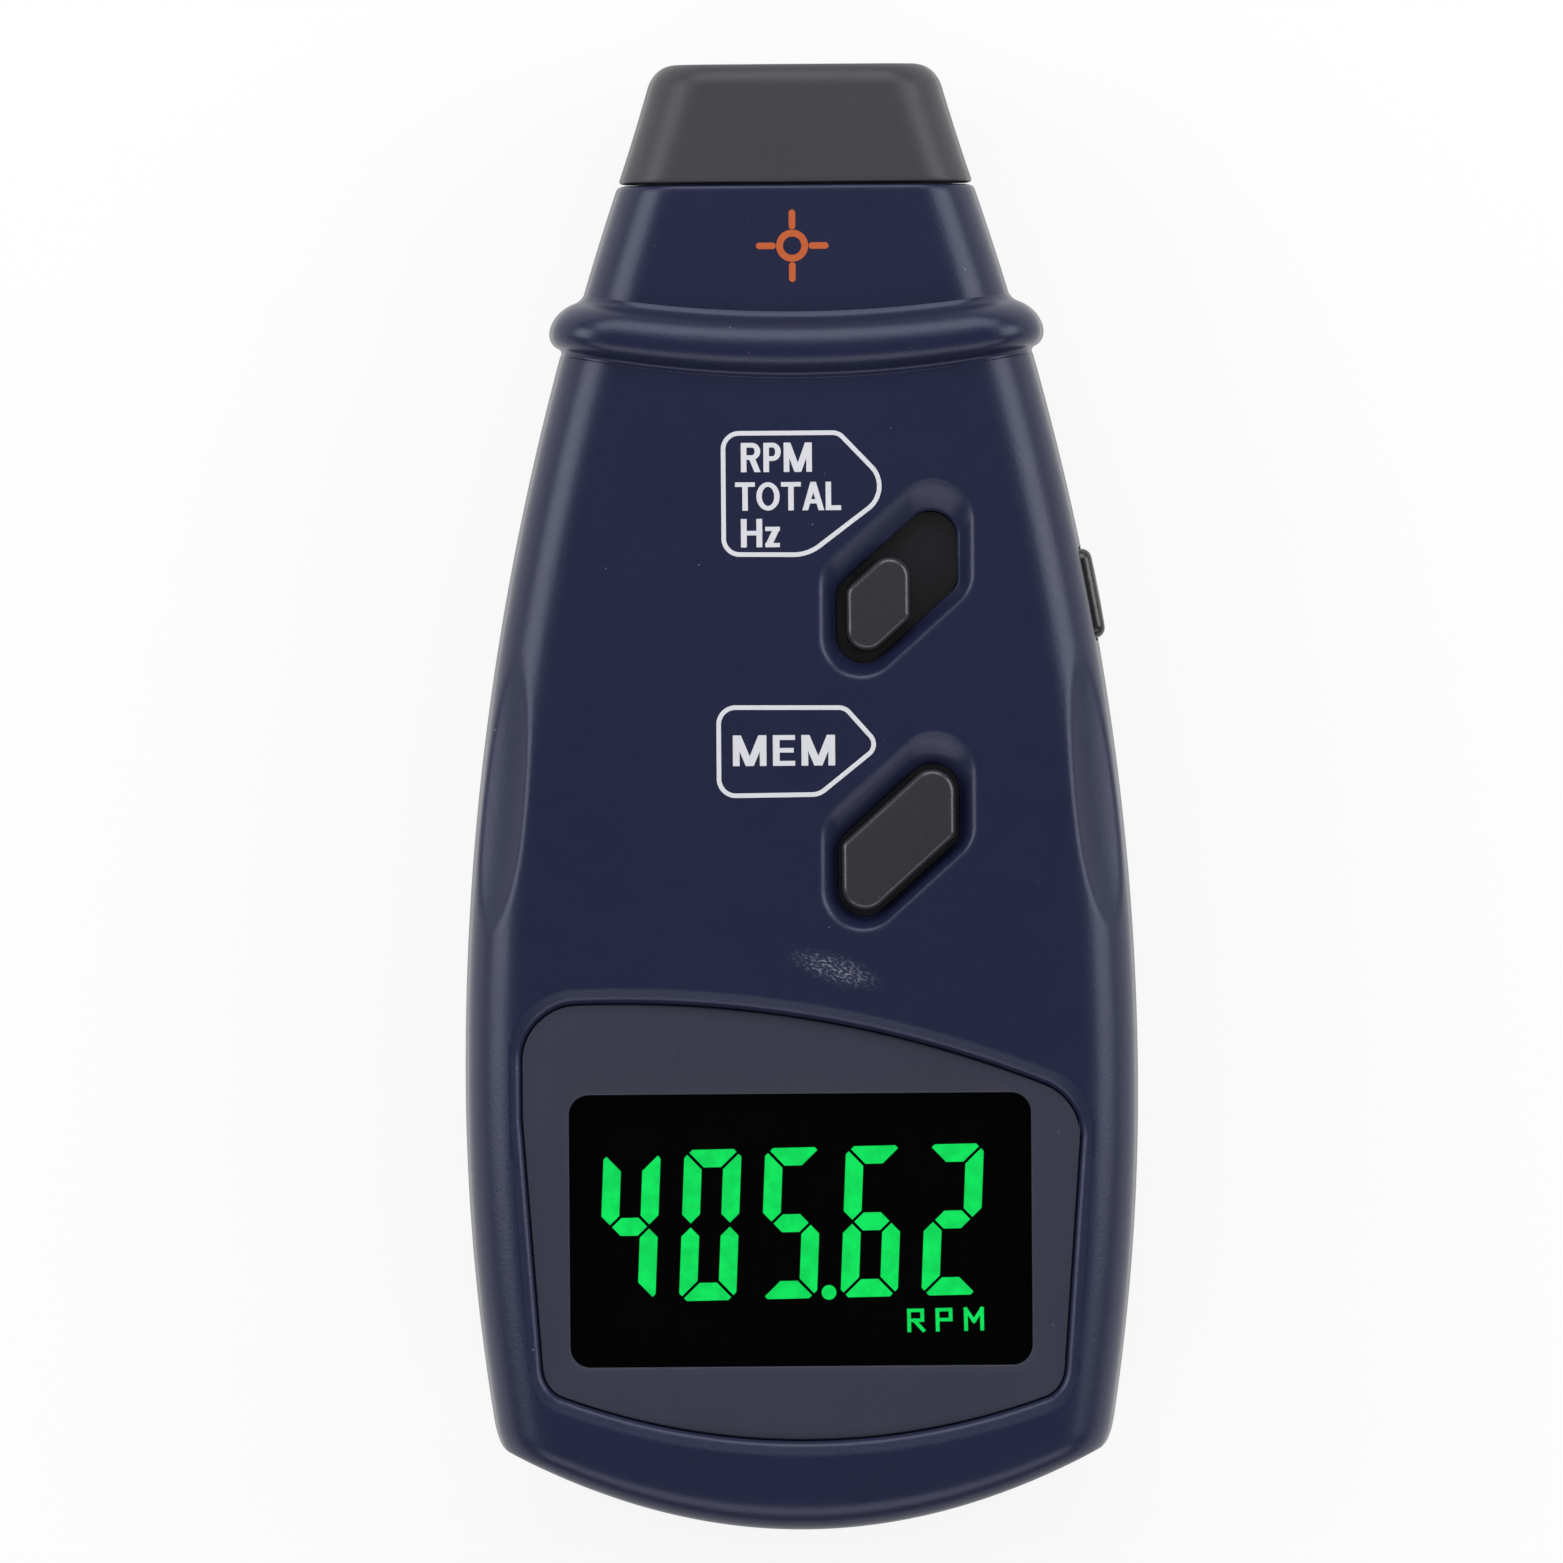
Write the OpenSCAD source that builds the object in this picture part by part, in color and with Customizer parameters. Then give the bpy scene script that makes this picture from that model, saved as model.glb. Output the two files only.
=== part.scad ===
/* [Case] */
// Overall length, tail to nose
case_len = 160; // [156:1:166]
// Greatest width, across the grip
case_w = 73.6; // [72:0.2:78]
// Half width at the end of the nose
nose_hw = 14.7; // [14:0.1:15.6]
// Half width at the corners of the tail
tail_hw = 33.4; // [32:0.2:34.4]
// Thickness, back to face
case_t = 33; // [32.5:0.5:36]
// Wall of the mouldings
wall = 2.2; // [1.8:0.1:2.4]
// Radius of the long edges of the case
edge_r = 6; // [5:0.5:7]
// Rise of the face's crown across the width
crown = 0.8; // [0.4:0.1:1.2]
// Height of the seam between the two shells
part_z = 15.5; // [14.5:0.5:16]
// Length of the dark nose cap
cap_len = 13.2; // [12:0.2:15]
// Open line between nose cap and head
cap_gap = 0.3; // [0.2:0.1:0.7]
// How far the ring bead stands out
bead_h = 2.4; // [1.4:0.1:2.8]
// Width of the ring bead along the case
bead_w = 7.4; // [6:0.2:8.2]
// How far the finger scallops reach in from the edge
scallop_in = 5.6; // [4.6:0.2:6]
// Length of the finger scallops
scallop_len = 41; // [34:0.5:44]

/* [Controls] */
// Half width of the two slanted pocket openings
slot_hw = 6.6; // [6.3:0.1:7]
// Slope of the slanted sides in degrees
slant = 42; // [40:1:44]
// Depth of the soft dish around each opening
dish_deep = 1.3; // [1:0.1:1.6]
// Travel of the mode knob
mode_travel = 6; // [5:0.2:6]
// Travel of the memory button
memory_travel = 0.8; // [0.6:0.1:1]
// Travel of the measure button
measure_travel = 0.8; // [0.6:0.1:1]
// Length of the measure button along the side
measure_len = 9.9; // [8:0.1:11]
// Height of the measure button
measure_h = 7; // [6:0.2:7.4]

/* [Display] */
// Case left on each side of the visible display
lcd_side = 11.6; // [11.2:0.1:12.4]
// Visible display height
lcd_h = 29.7; // [28:0.1:30.5]
// Number height
digit_h = 16.8; // [14:0.2:18]
// Thickness of the display window
window_t = 1.2; // [1:0.1:1.5]

/* [Power] */
// Battery length
battery_l = 46; // [44:0.5:47]
// Battery width
battery_w = 26.5; // [25:0.5:26.5]
// Battery height
battery_h = 17.2; // [16:0.2:17.4]

/* [Hidden] */
// Running clearance between moving pieces
play = 0.3;
// Clearance of a close fit
close = 0.05;
// Overlap that makes cuts clean
cut = 1;

// Plan of the case, with places between nose and tail that stretch with its length
stretch = case_len / 160;
nose_y = case_len / 2;
tail_y = -case_len / 2;
seam_y = nose_y - cap_len;
bead_y = nose_y - 28 * stretch;
grip_y = tail_y + 49 * stretch;
tail_bow = 8.9;
tail_r = 3.2;
tail_corner = 0.7;
tail_side_y = tail_y + tail_bow;
bead_bow = 2.2;
head_step = 0.7;
side_lean = 0.4;
front_arc = pow(nose_y - grip_y, 2) / (case_w - 2 * nose_hw - 2 * head_step);
tail_arc = pow(tail_side_y - grip_y, 2) / (case_w - 2 * tail_hw);

// Heights along the case
face_y = -10 * stretch;
face_arc = 1010 * stretch;
rise_y = nose_y - 40 * stretch;
rise_arc = 270;

// Grip scallops
scallop_y = 2.2 * stretch;
scallop_r = 24;
scallop_low = 25.6;
scallop_swell = 10.5;

// Pockets
mode_at = [10.75, 22.8 * stretch];
memory_at = [10.75, -4.8 * stretch];
pocket_skin = 1.4;
slot_r = 3;
knob_hw = 3.3;
knob_rest = [-1.75, -1.75];
slide_dir = [cos(slant), sin(slant)];

// Measure button frame, tangent to the right side
measure_y = 22 * stretch;
measure_z = part_z + 5;
measure_turn = atan((measure_y - grip_y) / front_arc);
measure_out = 0.95;

// Display stack, from the window down
window_top = case_t - 1.4;
ledge_t = 1;
ledge_z = window_top - window_t - ledge_t;
glass_t = 2;
glass_top = ledge_z - 0.2;
strip_t = 2.6;
board_t = 1.6;
board_top = glass_top - glass_t - strip_t;
board_z = board_top - board_t;
lcd_w = case_w - 2 * lcd_side;
lcd_at = [-0.25, tail_y + 32.7];
glass_w = lcd_w + 3.6;
glass_h = lcd_h + 3.3;

// Window outline, two arcs and two leaning sides
top_arc_r = 125;
top_arc_x = -20.3;
top_arc_y = tail_y + 57.45;
low_arc_r = 76;
low_arc_y = tail_y + 9.8;
window_wide = case_w / 2 - 6.3;
window_narrow = case_w / 2 - 8.6;
window_r = 3.4;
window_top_r = 6;
window_split_y = tail_y + 32;
dish_rim = 1.6;

// Screws
screw_r = 1.3;
head_r = 2.7;
head_t = 2;
boss_r = 3.4;
head_seat = 8;
post_r = 2.4;
board_screw_r = 0.9;
case_screw_at = [for (s = [-1, 1]) each [
    [s * (half_w(bead_y - 6) - wall - boss_r - 1.5), bead_y - 6],
    [s * (half_w(-20 * stretch) - wall - boss_r - 2.4), -20 * stretch]]];
board_gap = 5;
board_end = bead_y - 11;
board_screw_at = [[-17, board_end - 4.5], [8, board_end - 3.5], [-22.5, -10 * stretch], [22.5, -10 * stretch]];

// Battery bay
battery_y = tail_y + 22.8;
battery_z = 2.8;
battery_x = -2.2;
door_hw = 25.6;
door_t = 2.4;
door_top_y = battery_y + battery_w / 2 + 0.8;
tongue = 1;

// Optics
axis_z = 16.2;
laser_x = -7.6;
laser_r = 4.5;
receiver_x = 6.2;
receiver_r = 7;
optics_front = nose_y - 2.6;
bracket_y = nose_y - 24;
bracket_t = 3;

// Outline and heights of the case as functions of the place along it
function half_w(y) = case_w / 2 - pow(y - grip_y, 2) / (2 * (y > grip_y ? front_arc : tail_arc));
function top_z(y) = case_t - pow(max(0, y - face_y), 2) / (2 * face_arc);
function back_z(y) = pow(max(0, y - rise_y), 2) / (2 * rise_arc);
function face_at(p) = top_z(p[1]) - crown * pow(p[0] / half_w(p[1]), 2);
function bell(t) = abs(t) < 1 ? pow(cos(90 * t), 2) : 0;
function mix(a, b, t) = a + (b - a) * t;

// A station is its place at the side, what it takes off all round, what it adds to side and face, and,
// where it differs, what it takes off the width
tail_steps = 4;
tail_turn = [for (i = [0:tail_steps]) 90 * i / tail_steps];
function bow_at(y) = y < bead_y
    ? mix(tail_bow, bead_bow, (y - tail_side_y) / (bead_y - tail_side_y))
    : mix(bead_bow, 0, min(1, (y - bead_y) / (seam_y - 1 - bead_y)));
function tail_stations(inset) = [for (a = tail_turn)
    [tail_side_y + inset + tail_r * (1 - cos(a)), -tail_r * (1 - sin(a)), 0, -tail_corner * (1 - sin(a))]];
body_rows = 12;
body_first = tail_side_y + tail_r + 5;
body_last = bead_y - bead_w / 2 - 1;
body_stations = [for (i = [0:body_rows]) [mix(body_first, body_last, i / body_rows), 0, 0]];
// The bead is a round top between two hollow feet, all turning through the same angle
bead_foot = 0.9;
bead_turn = 2 * atan(2 * bead_h / bead_w);
bead_top = bead_w / 2 / sin(bead_turn) - bead_foot;
bead_rows = 4;
function bead_place(t) = abs(t) > 1
    ? sign(t) * (bead_w / 2 - bead_foot * sin(bead_turn * (2 - abs(t))))
    : bead_top * sin(bead_turn * t);
function bead_rise(t) = abs(t) > 1
    ? bead_foot * (1 - cos(bead_turn * (2 - abs(t))))
    : bead_h - bead_top * (1 - cos(bead_turn * t));
bead_stations = [for (i = [-bead_rows:bead_rows]) let (t = 2 * i / bead_rows)
    [bead_y + 0.2 + bead_place(t), 0, bead_rise(t) - head_step * (i + bead_rows) / (2 * bead_rows)]];
head_stations = [[seam_y - 3, 0, -head_step], [seam_y, 0, -head_step]];

// Half section from the side seam to the middle of the face, then the same along the back.
// A grain is the number of steps round the edge and across the flat.
fine = [5, 5];
coarse = [3, 3];
function edge_x(r, k, n) = k == 0 ? 0 : r * (1 - cos(90 * (k - 1) / n));
function edge_z(r, k, n) = k == 0 || k > n + 1 ? 0 : r * (1 - sin(90 * (k - 1) / n));
function section_x(w, r, k, grain) = k <= grain[0] + 1
    ? w - (k == 0 ? 0 : side_lean) - edge_x(r, k, grain[0])
    : (w - side_lean - r) * (grain[0] + 1 + grain[1] - k) / grain[1];

function ring(st, inset, swell, grain) = let (
        side = st[0],
        w = half_w(side) + (is_undef(st[3]) ? st[1] : st[3]) + st[2] - inset,
        r = max(1.2, edge_r - inset + st[1]),
        top_r = min(r + swell * bell((side - scallop_y) / (scallop_len * 0.54)), case_t - inset - part_z - 1),
        bow = bow_at(side),
        lift = st[1] + st[2] - inset,
        sink = inset - st[1],
        half = grain[0] + 1 + grain[1],
        top = concat([for (k = [0:half]) [1, k]], [for (k = [half - 1:-1:0]) [-1, k]]),
        low = concat([for (k = [1:half]) [-1, k]], [for (k = [half - 1:-1:1]) [1, k]])
    ) concat(
        [for (s = top) let (
            x = s[0] * section_x(w, top_r, s[1], grain),
            y = side - bow * (1 - pow(x / w, 2)),
            roof = top_z(y) + lift - crown * pow(x / w, 2)
        ) [x, y, s[1] == 0 ? part_z : roof - edge_z(top_r, s[1], grain[0])]],
        [for (s = low) let (
            x = s[0] * section_x(w, r, s[1], grain),
            y = side - bow * (1 - pow(x / w, 2))
        ) [x, y, back_z(y) + sink + edge_z(r, s[1], grain[0])]]);

// Skin between rings, with both ends closed by strips from the face to the back
module loft(rings) {
    n = len(rings[0]);
    m = len(rings);
    top_n = n / 2;
    low = function (j, i) j * n + (i == 0 ? 0 : i == top_n ? top_n : n - i);
    side_faces = [for (j = [0:m - 2]) for (i = [0:n - 1]) let (
            a = j * n + i,
            b = j * n + (i + 1) % n,
            c = (j + 1) * n + (i + 1) % n,
            d = (j + 1) * n + i
        ) each [[a, b, c], [a, c, d]]];
    end_faces = [for (e = [0, m - 1]) for (i = [0:top_n - 1]) let (
            a = e * n + i,
            b = e * n + i + 1,
            c = low(e, i + 1),
            d = low(e, i),
            near = e == 0
        ) each concat(
            b == c ? [] : [near ? [a, c, b] : [a, b, c]],
            a == d ? [] : [near ? [a, d, c] : [a, c, d]])];
    polyhedron([for (r = rings) each r], concat(side_faces, end_faces), convexity = 6);
}

// Whole case between tail and seam, solid
module case_body() {
    loft([for (st = concat(tail_stations(0), body_stations, bead_stations, head_stations))
        ring(st, 0, 0, fine)]);
}

// Room inside the case, open through the head
module case_room() {
    rows = 13;
    first = tail_side_y + tail_r + wall + 3;
    plain = [for (i = [0:rows]) [mix(first, seam_y + cut, i / rows), 0, -head_step * i / rows]];
    loft([for (st = concat(tail_stations(wall), plain)) ring(st, wall, scallop_swell, coarse)]);
}

module above(z) {
    translate([-case_w, tail_y - cut, z])
        cube([2 * case_w, case_len + 2 * cut, case_t]);
}

module below(z) {
    translate([-case_w, tail_y - cut, z - case_t])
        cube([2 * case_w, case_len + 2 * cut, case_t]);
}

// Slanted outline with upright sides, all corners rounded
module slant_outline(hw, drop, r) {
    tip = 2 * hw * tan(slant) - drop;
    offset(r = r, $fn = 32)
        offset(delta = -r)
            polygon([[-hw, -drop], [-hw, -tip], [hw, drop], [hw, tip]]);
}

module slot_outline() {
    slant_outline(slot_hw, 0, slot_r);
}

module button_outline(inset) {
    slant_outline(slot_hw - inset, 0.4, slot_r - inset);
}

module knob_outline(inset) {
    slant_outline(knob_hw - inset, -1.6, 1.6 - inset / 2);
}

// Soft dish that narrows from the face to the rim of an opening
module pocket_dish(at) {
    z = face_at(at);
    hull() {
        translate([at[0], at[1] + 0.8, z + 0.3])
            linear_extrude(0.2)
                offset(r = 1.8, $fn = 32)
                    slot_outline();
        translate([at[0], at[1], z - dish_deep])
            linear_extrude(0.1)
                offset(r = 0.3, $fn = 32)
                    slot_outline();
    }
}

module pocket_hole(at) {
    translate([at[0], at[1], board_top])
        linear_extrude(case_t)
            slot_outline();
}

// Thicker skin under a pocket
module pocket_pad(at) {
    z = face_at(at) - dish_deep - pocket_skin;
    translate([at[0], at[1], z])
        linear_extrude(pocket_skin)
            offset(r = 2.6, $fn = 24)
                slot_outline();
}

// Axis of a scoop that passes the face and the side wall where the scallop is to end, as distances
// out from the side and up from the back
scallop_high = case_t - 0.2;
scallop_chord = norm([scallop_in, scallop_high - scallop_low]);
scallop_back = sqrt(pow(scallop_r, 2) - pow(scallop_chord / 2, 2));
scallop_axis = [
    -scallop_in / 2 + scallop_back * (scallop_high - scallop_low) / scallop_chord,
    (scallop_high + scallop_low) / 2 + scallop_back * scallop_in / scallop_chord];

// Barrel that scoops a finger rest out of one long edge, just touching the edge at its ends
module scallop(side) {
    half = scallop_len / 2;
    end_r = norm([scallop_axis[0] + edge_r, scallop_axis[1] - case_t + edge_r]) - edge_r;
    drop = scallop_r - end_r;
    arc_r = (half * half + drop * drop) / (2 * drop);
    reach = half + 4;
    translate([side * (half_w(scallop_y) + scallop_axis[0]), scallop_y, scallop_axis[1]])
        rotate([0, 0, side * atan((scallop_y - grip_y) / front_arc)])
            rotate([90, 0, 0])
                rotate_extrude($fn = 96)
                    intersection() {
                        translate([scallop_r - arc_r, 0])
                            circle(arc_r, $fn = 96);
                        translate([0, -reach])
                            square([scallop_r + cut, 2 * reach]);
                    }
}

// Display outlines: the arcs and leaning sides, then the same with its corners rounded, wider at the top
module window_form(r) {
    offset(r = r, $fn = 48)
        offset(delta = -r)
            intersection() {
                translate([top_arc_x, top_arc_y - top_arc_r])
                    circle(top_arc_r, $fn = 150);
                translate([0.4, low_arc_y + low_arc_r])
                    circle(low_arc_r, $fn = 110);
                polygon([[-window_wide, tail_y + 45], [-window_narrow, tail_y + 14],
                    [-window_narrow, tail_y], [window_narrow, tail_y], [window_narrow, tail_y + 14],
                    [window_wide, tail_y + 45], [window_wide, 0], [-window_wide, 0]]);
            }
}

module window_outline() {
    intersection() {
        window_form(window_r);
        union() {
            window_form(window_top_r);
            translate([-case_w, tail_y])
                square([2 * case_w, window_split_y - tail_y]);
        }
    }
}

module rounded(size, r) {
    translate([-size[0] / 2 + r, -size[1] / 2 + r])
        offset(r = r, $fn = 32)
            square([size[0] - 2 * r, size[1] - 2 * r]);
}

module display_dish() {
    hull() {
        translate([0, 0, case_t + 0.2])
            linear_extrude(0.1)
                offset(r = dish_rim, $fn = 32)
                    window_outline();
        translate([0, 0, window_top - 0.2])
            linear_extrude(0.1)
                offset(r = close + 0.15, $fn = 32)
                    window_outline();
    }
}

module display_recess() {
    translate([0, 0, ledge_z + ledge_t])
        linear_extrude(case_t)
            offset(r = close + 0.1, $fn = 32)
                window_outline();
    translate([lcd_at[0], lcd_at[1], ledge_z - cut])
        linear_extrude(case_t)
            rounded([lcd_w + 0.8, lcd_h + 0.8], 2.4);
}

module display_pad() {
    translate([0, 0, ledge_z])
        linear_extrude(ledge_t + 0.6)
            offset(r = 1.2, $fn = 24)
                window_outline();
}

// Frame of the measure button, its X axis pointing out of the right side
module at_measure() {
    translate([half_w(measure_y), measure_y, measure_z])
        rotate([0, 0, measure_turn])
            children();
}

module side_plate(len, h, r, x0, x1) {
    translate([x0, 0, 0])
        rotate([90, 0, 90])
            linear_extrude(x1 - x0)
                rounded([len, h], r);
}

module at_each(list) {
    for (p = list)
        translate([p[0], p[1], 0])
            children();
}

module front_shell() {
    color([0.13, 0.15, 0.26])
        difference() {
            union() {
                difference() {
                    case_body();
                    case_room();
                    below(part_z);
                }
                pocket_pad(mode_at);
                pocket_pad(memory_at);
                display_pad();
                for (p = case_screw_at)
                    translate([p[0], p[1], part_z])
                        cylinder(r = boss_r, h = face_at(p) - wall / 2 - part_z, $fn = 40);
                for (p = board_screw_at)
                    translate([p[0], p[1], board_top])
                        cylinder(r = post_r, h = face_at(p) - wall / 2 - board_top, $fn = 40);
            }
            pocket_dish(mode_at);
            pocket_dish(memory_at);
            pocket_hole(mode_at);
            pocket_hole(memory_at);
            display_dish();
            display_recess();
            scallop(1);
            scallop(-1);
            at_measure()
                side_plate(measure_len + 2 * play, measure_h + 2 * play, 1.6, -2 * wall, 2 * wall);
            at_measure()
                side_plate(measure_len + trigger_rim[0] + 2 * play, measure_h + trigger_rim[1] + 2 * play, 1.6,
                    plate_x - plate_t - measure_travel - play, plate_x + play);
            at_each(case_screw_at)
                translate([0, 0, part_z - cut])
                    cylinder(r = screw_r + close, h = 9 + cut, $fn = 32);
            at_each(board_screw_at)
                translate([0, 0, board_top - cut])
                    cylinder(r = board_screw_r + close, h = 4 + cut, $fn = 32);
        }
}

// Opening of the battery bay with the side grooves of its door
module door_channel(gap) {
    translate([-door_hw - gap, tail_y - cut, -cut])
        cube([2 * (door_hw + gap), door_top_y + gap - tail_y + cut, door_t + gap + cut]);
    translate([-door_hw - tongue - gap, tail_y - cut, door_t - 1.2 - gap])
        cube([2 * (door_hw + tongue + gap), door_top_y + gap - tail_y + cut, 1.2 + 2 * gap]);
}

module rear_shell() {
    color([0.13, 0.15, 0.26])
        difference() {
            union() {
                difference() {
                    case_body();
                    case_room();
                    above(part_z);
                }
                at_each(case_screw_at)
                    translate([0, 0, 1.5])
                        cylinder(r = boss_r, h = part_z - 1.5, $fn = 40);
                for (s = [-1, 1])
                    translate([s * (door_hw + 1.6) - 1.6, tail_side_y, wall / 2])
                        cube([3.2, door_top_y + 1.5 - tail_side_y, 3.4]);
                translate([-door_hw - 2, door_top_y - 0.2, wall / 2])
                    cube([2 * door_hw + 4, 1.6, part_z - wall / 2 - 2]);
                translate([-9, bracket_y - 1, wall])
                    cube([18, bracket_t + 2, axis_z - receiver_r - 2 - wall]);
            }
            door_channel(play);
            at_each(case_screw_at)
                translate([0, 0, -cut])
                    cylinder(r = head_r + play, h = head_seat + cut, $fn = 32);
            at_each(case_screw_at)
                translate([0, 0, -cut])
                    cylinder(r = screw_r + close, h = part_z + 2 * cut, $fn = 32);
        }
}

// Nose cap as a loft of its own, its sides straighter than the case's, rounded at the front, with a
// spigot into the head
cap_r = 2.4;
cap_flare = 0.75;
module cap_block() {
    steps = 4;
    rows = concat([[seam_y + cap_gap, 0], [mix(seam_y, nose_y - cap_r, 0.5), 0]],
        [for (i = [0:steps]) let (a = 90 * i / steps)
            [nose_y - cap_r + cap_r * sin(a), -cap_r * 0.75 * (1 - cos(a))]]);
    loft([for (p = rows) cap_ring(p[0], p[1] - head_step)]);
}

function cap_ring(y, off) = let (spread = 1 + cap_flare * pow((y - seam_y) / cap_len, 2) / half_w(y))
    [for (q = ring([y, off, 0], 0, 0, fine)) [q[0] * spread, y, q[2]]];

module cap_spigot() {
    loft([for (y = [seam_y - 3.5, seam_y + cap_gap + 0.5])
        [for (q = ring([y, -2 * close, -head_step], wall, 0, coarse)) [q[0], y, q[2]]]]);
}

module along_y(x, y0, y1, r) {
    translate([x, y1, axis_z])
        rotate([90, 0, 0])
            cylinder(r = r, h = y1 - y0, $fn = 64);
}

module nose_cap() {
    color([0.25, 0.25, 0.27])
        difference() {
            union() {
                cap_block();
                cap_spigot();
            }
            along_y(laser_x, seam_y - 5, optics_front, laser_r + close);
            along_y(receiver_x, seam_y - 5, optics_front, receiver_r + close);
            along_y(laser_x, optics_front - cut, nose_y + cut, 3);
            along_y(receiver_x, optics_front - cut, nose_y + cut, receiver_r - 1);
        }
}

module case_screws() {
    color([0.62, 0.62, 0.64])
        at_each(case_screw_at)
            difference() {
                union() {
                    translate([0, 0, head_seat - head_t])
                        cylinder(r = head_r, h = head_t, $fn = 32);
                    translate([0, 0, head_seat - 0.5])
                        cylinder(r = screw_r, h = part_z + 7.5 - head_seat, $fn = 32);
                }
                for (a = [0, 90])
                    rotate([0, 0, a])
                        translate([-1.5, -0.3, head_seat - head_t - cut])
                            cube([3, 0.6, cut + 1]);
            }
}

module display_window() {
    color([0.22, 0.23, 0.29])
        translate([0, 0, window_top - window_t])
            linear_extrude(window_t)
                difference() {
                    window_outline();
                    translate(lcd_at)
                        rounded([lcd_w, lcd_h], 2.2);
                }
}

module lcd_pane() {
    color([0.03, 0.04, 0.04, 0.5])
        translate([lcd_at[0], lcd_at[1], window_top - window_t])
            linear_extrude(window_t - 0.05)
                rounded([lcd_w - 2 * close, lcd_h - 2 * close], 2.2 - close);
}

// One number: seven bars with mitred ends in the order top, middle, foot, upper left, lower left,
// upper right, lower right; its four corners are cut off
digit_w = digit_h * 0.39;
bar_w = digit_h * 0.135;
bar_gap = 0.32;
bar_cut = bar_w * 0.42;
number_turn = 0.9;
lit = [[0, 1, 0, 1, 0, 1, 1], [1, 0, 1, 1, 1, 1, 1], [1, 1, 1, 1, 0, 0, 1], [1, 1, 1, 1, 1, 0, 1],
    [1, 1, 1, 0, 1, 1, 0]];

// Top bar on the upper edge, and middle bar, over the width of a number whose middle is at zero
module end_bar() {
    h = digit_h / 2;
    low = h - bar_cut / 2;
    polygon([[bar_cut, h], [digit_w - bar_cut, h], [digit_w - bar_cut / 2, low], [digit_w - bar_w, h - bar_w],
        [bar_w, h - bar_w], [bar_cut / 2, low]]);
}

module middle_bar() {
    m = bar_w / 2;
    polygon([[m, 0], [bar_w, m], [digit_w - bar_w, m], [digit_w - m, 0], [digit_w - bar_w, -m], [bar_w, -m]]);
}

module side_bar() {
    h = digit_h / 2;
    m = bar_w / 2;
    polygon([[0, h - bar_cut], [bar_cut / 2, h - bar_cut / 2], [bar_w, h - bar_w], [bar_w, m], [m, 0], [0, m]]);
}

module digit(on) {
    for (i = [0:6])
        if (on[i])
            offset(delta = -bar_gap / 2)
                if (i == 1)
                    middle_bar();
                else if (i == 0 || i == 2)
                    mirror([0, i / 2])
                        end_bar();
                else
                    translate([i > 4 ? digit_w : 0, 0])
                        scale([i > 4 ? -1 : 1, i % 2 == 1 ? 1 : -1])
                            side_bar();
}

// Strokes of the unit's letters on a grid one wide and one and a half high
unit_strokes = [
    [[0, 0, 0, 1.5], [0, 1.5, 0.9, 1.5], [0.9, 1.5, 0.9, 0.75], [0.9, 0.75, 0, 0.75], [0.35, 0.75, 0.95, 0]],
    [[0, 0, 0, 1.5], [0, 1.5, 0.9, 1.5], [0.9, 1.5, 0.9, 0.75], [0.9, 0.75, 0, 0.75]],
    [[0, 0, 0, 1.5], [0, 1.5, 0.55, 0.6], [0.55, 0.6, 1.1, 1.5], [1.1, 1.5, 1.1, 0]]];

module stroke(p, w) {
    turn = atan2(p[3] - p[1], p[2] - p[0]);
    translate([p[0], p[1]])
        rotate([0, 0, turn])
            translate([-w / 2, -w / 2])
                square([norm([p[2] - p[0], p[3] - p[1]]) + w, w]);
}

module unit_letter(i) {
    scale([1.6, 1.45])
        union()
            for (p = unit_strokes[i])
                stroke(p, 0.26);
}

module lcd_segments() {
    pitch = digit_w * 1.346;
    color([0.05, 0.9, 0.36])
        translate([lcd_at[0], lcd_at[1], glass_top])
            rotate([0, 0, number_turn])
                linear_extrude(0.1) {
                    for (i = [0:4])
                        translate([(i - 1.5) * pitch - 8.72, 0.75])
                            multmatrix([[1, 0.06, 0, 0], [0, 1, 0, 0], [0, 0, 1, 0], [0, 0, 0, 1]])
                                digit(lit[i]);
                    translate([1.5 * pitch - 10.3, 1.5 - digit_h / 2])
                        circle(0.8, $fn = 24);
                    for (i = [0:2])
                        translate([lcd_w / 2 - 13.6 + 3.1 * i, 3.6 - lcd_h / 2])
                            unit_letter(i);
                }
}

module lcd_glass() {
    color([0.02, 0.03, 0.03])
        translate([lcd_at[0] - glass_w / 2, lcd_at[1] - glass_h / 2, glass_top - glass_t])
            cube([glass_w, glass_h, glass_t]);
}

module lcd_frame() {
    rim = 1.2;
    color([0.1, 0.1, 0.11])
        translate([lcd_at[0], lcd_at[1], board_top])
            linear_extrude(ledge_z - board_top)
                difference() {
                    square([glass_w + 2 * rim, glass_h + 2 * rim], center = true);
                    square([glass_w + 2 * close, glass_h + 2 * close], center = true);
                }
}

module backlight_panel() {
    color([0.85, 0.9, 0.86])
        translate([lcd_at[0] - glass_w / 2, lcd_at[1] - glass_h / 2 + 2.4, board_top])
            cube([glass_w, glass_h - 4.8, strip_t]);
}

module contact_strips() {
    color([0.75, 0.45, 0.5])
        for (s = [-1, 1])
            translate([lcd_at[0] - glass_w / 2, lcd_at[1] + s * (glass_h / 2 - 1.1) - 1, board_top])
                cube([glass_w, 2, strip_t]);
}

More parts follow.
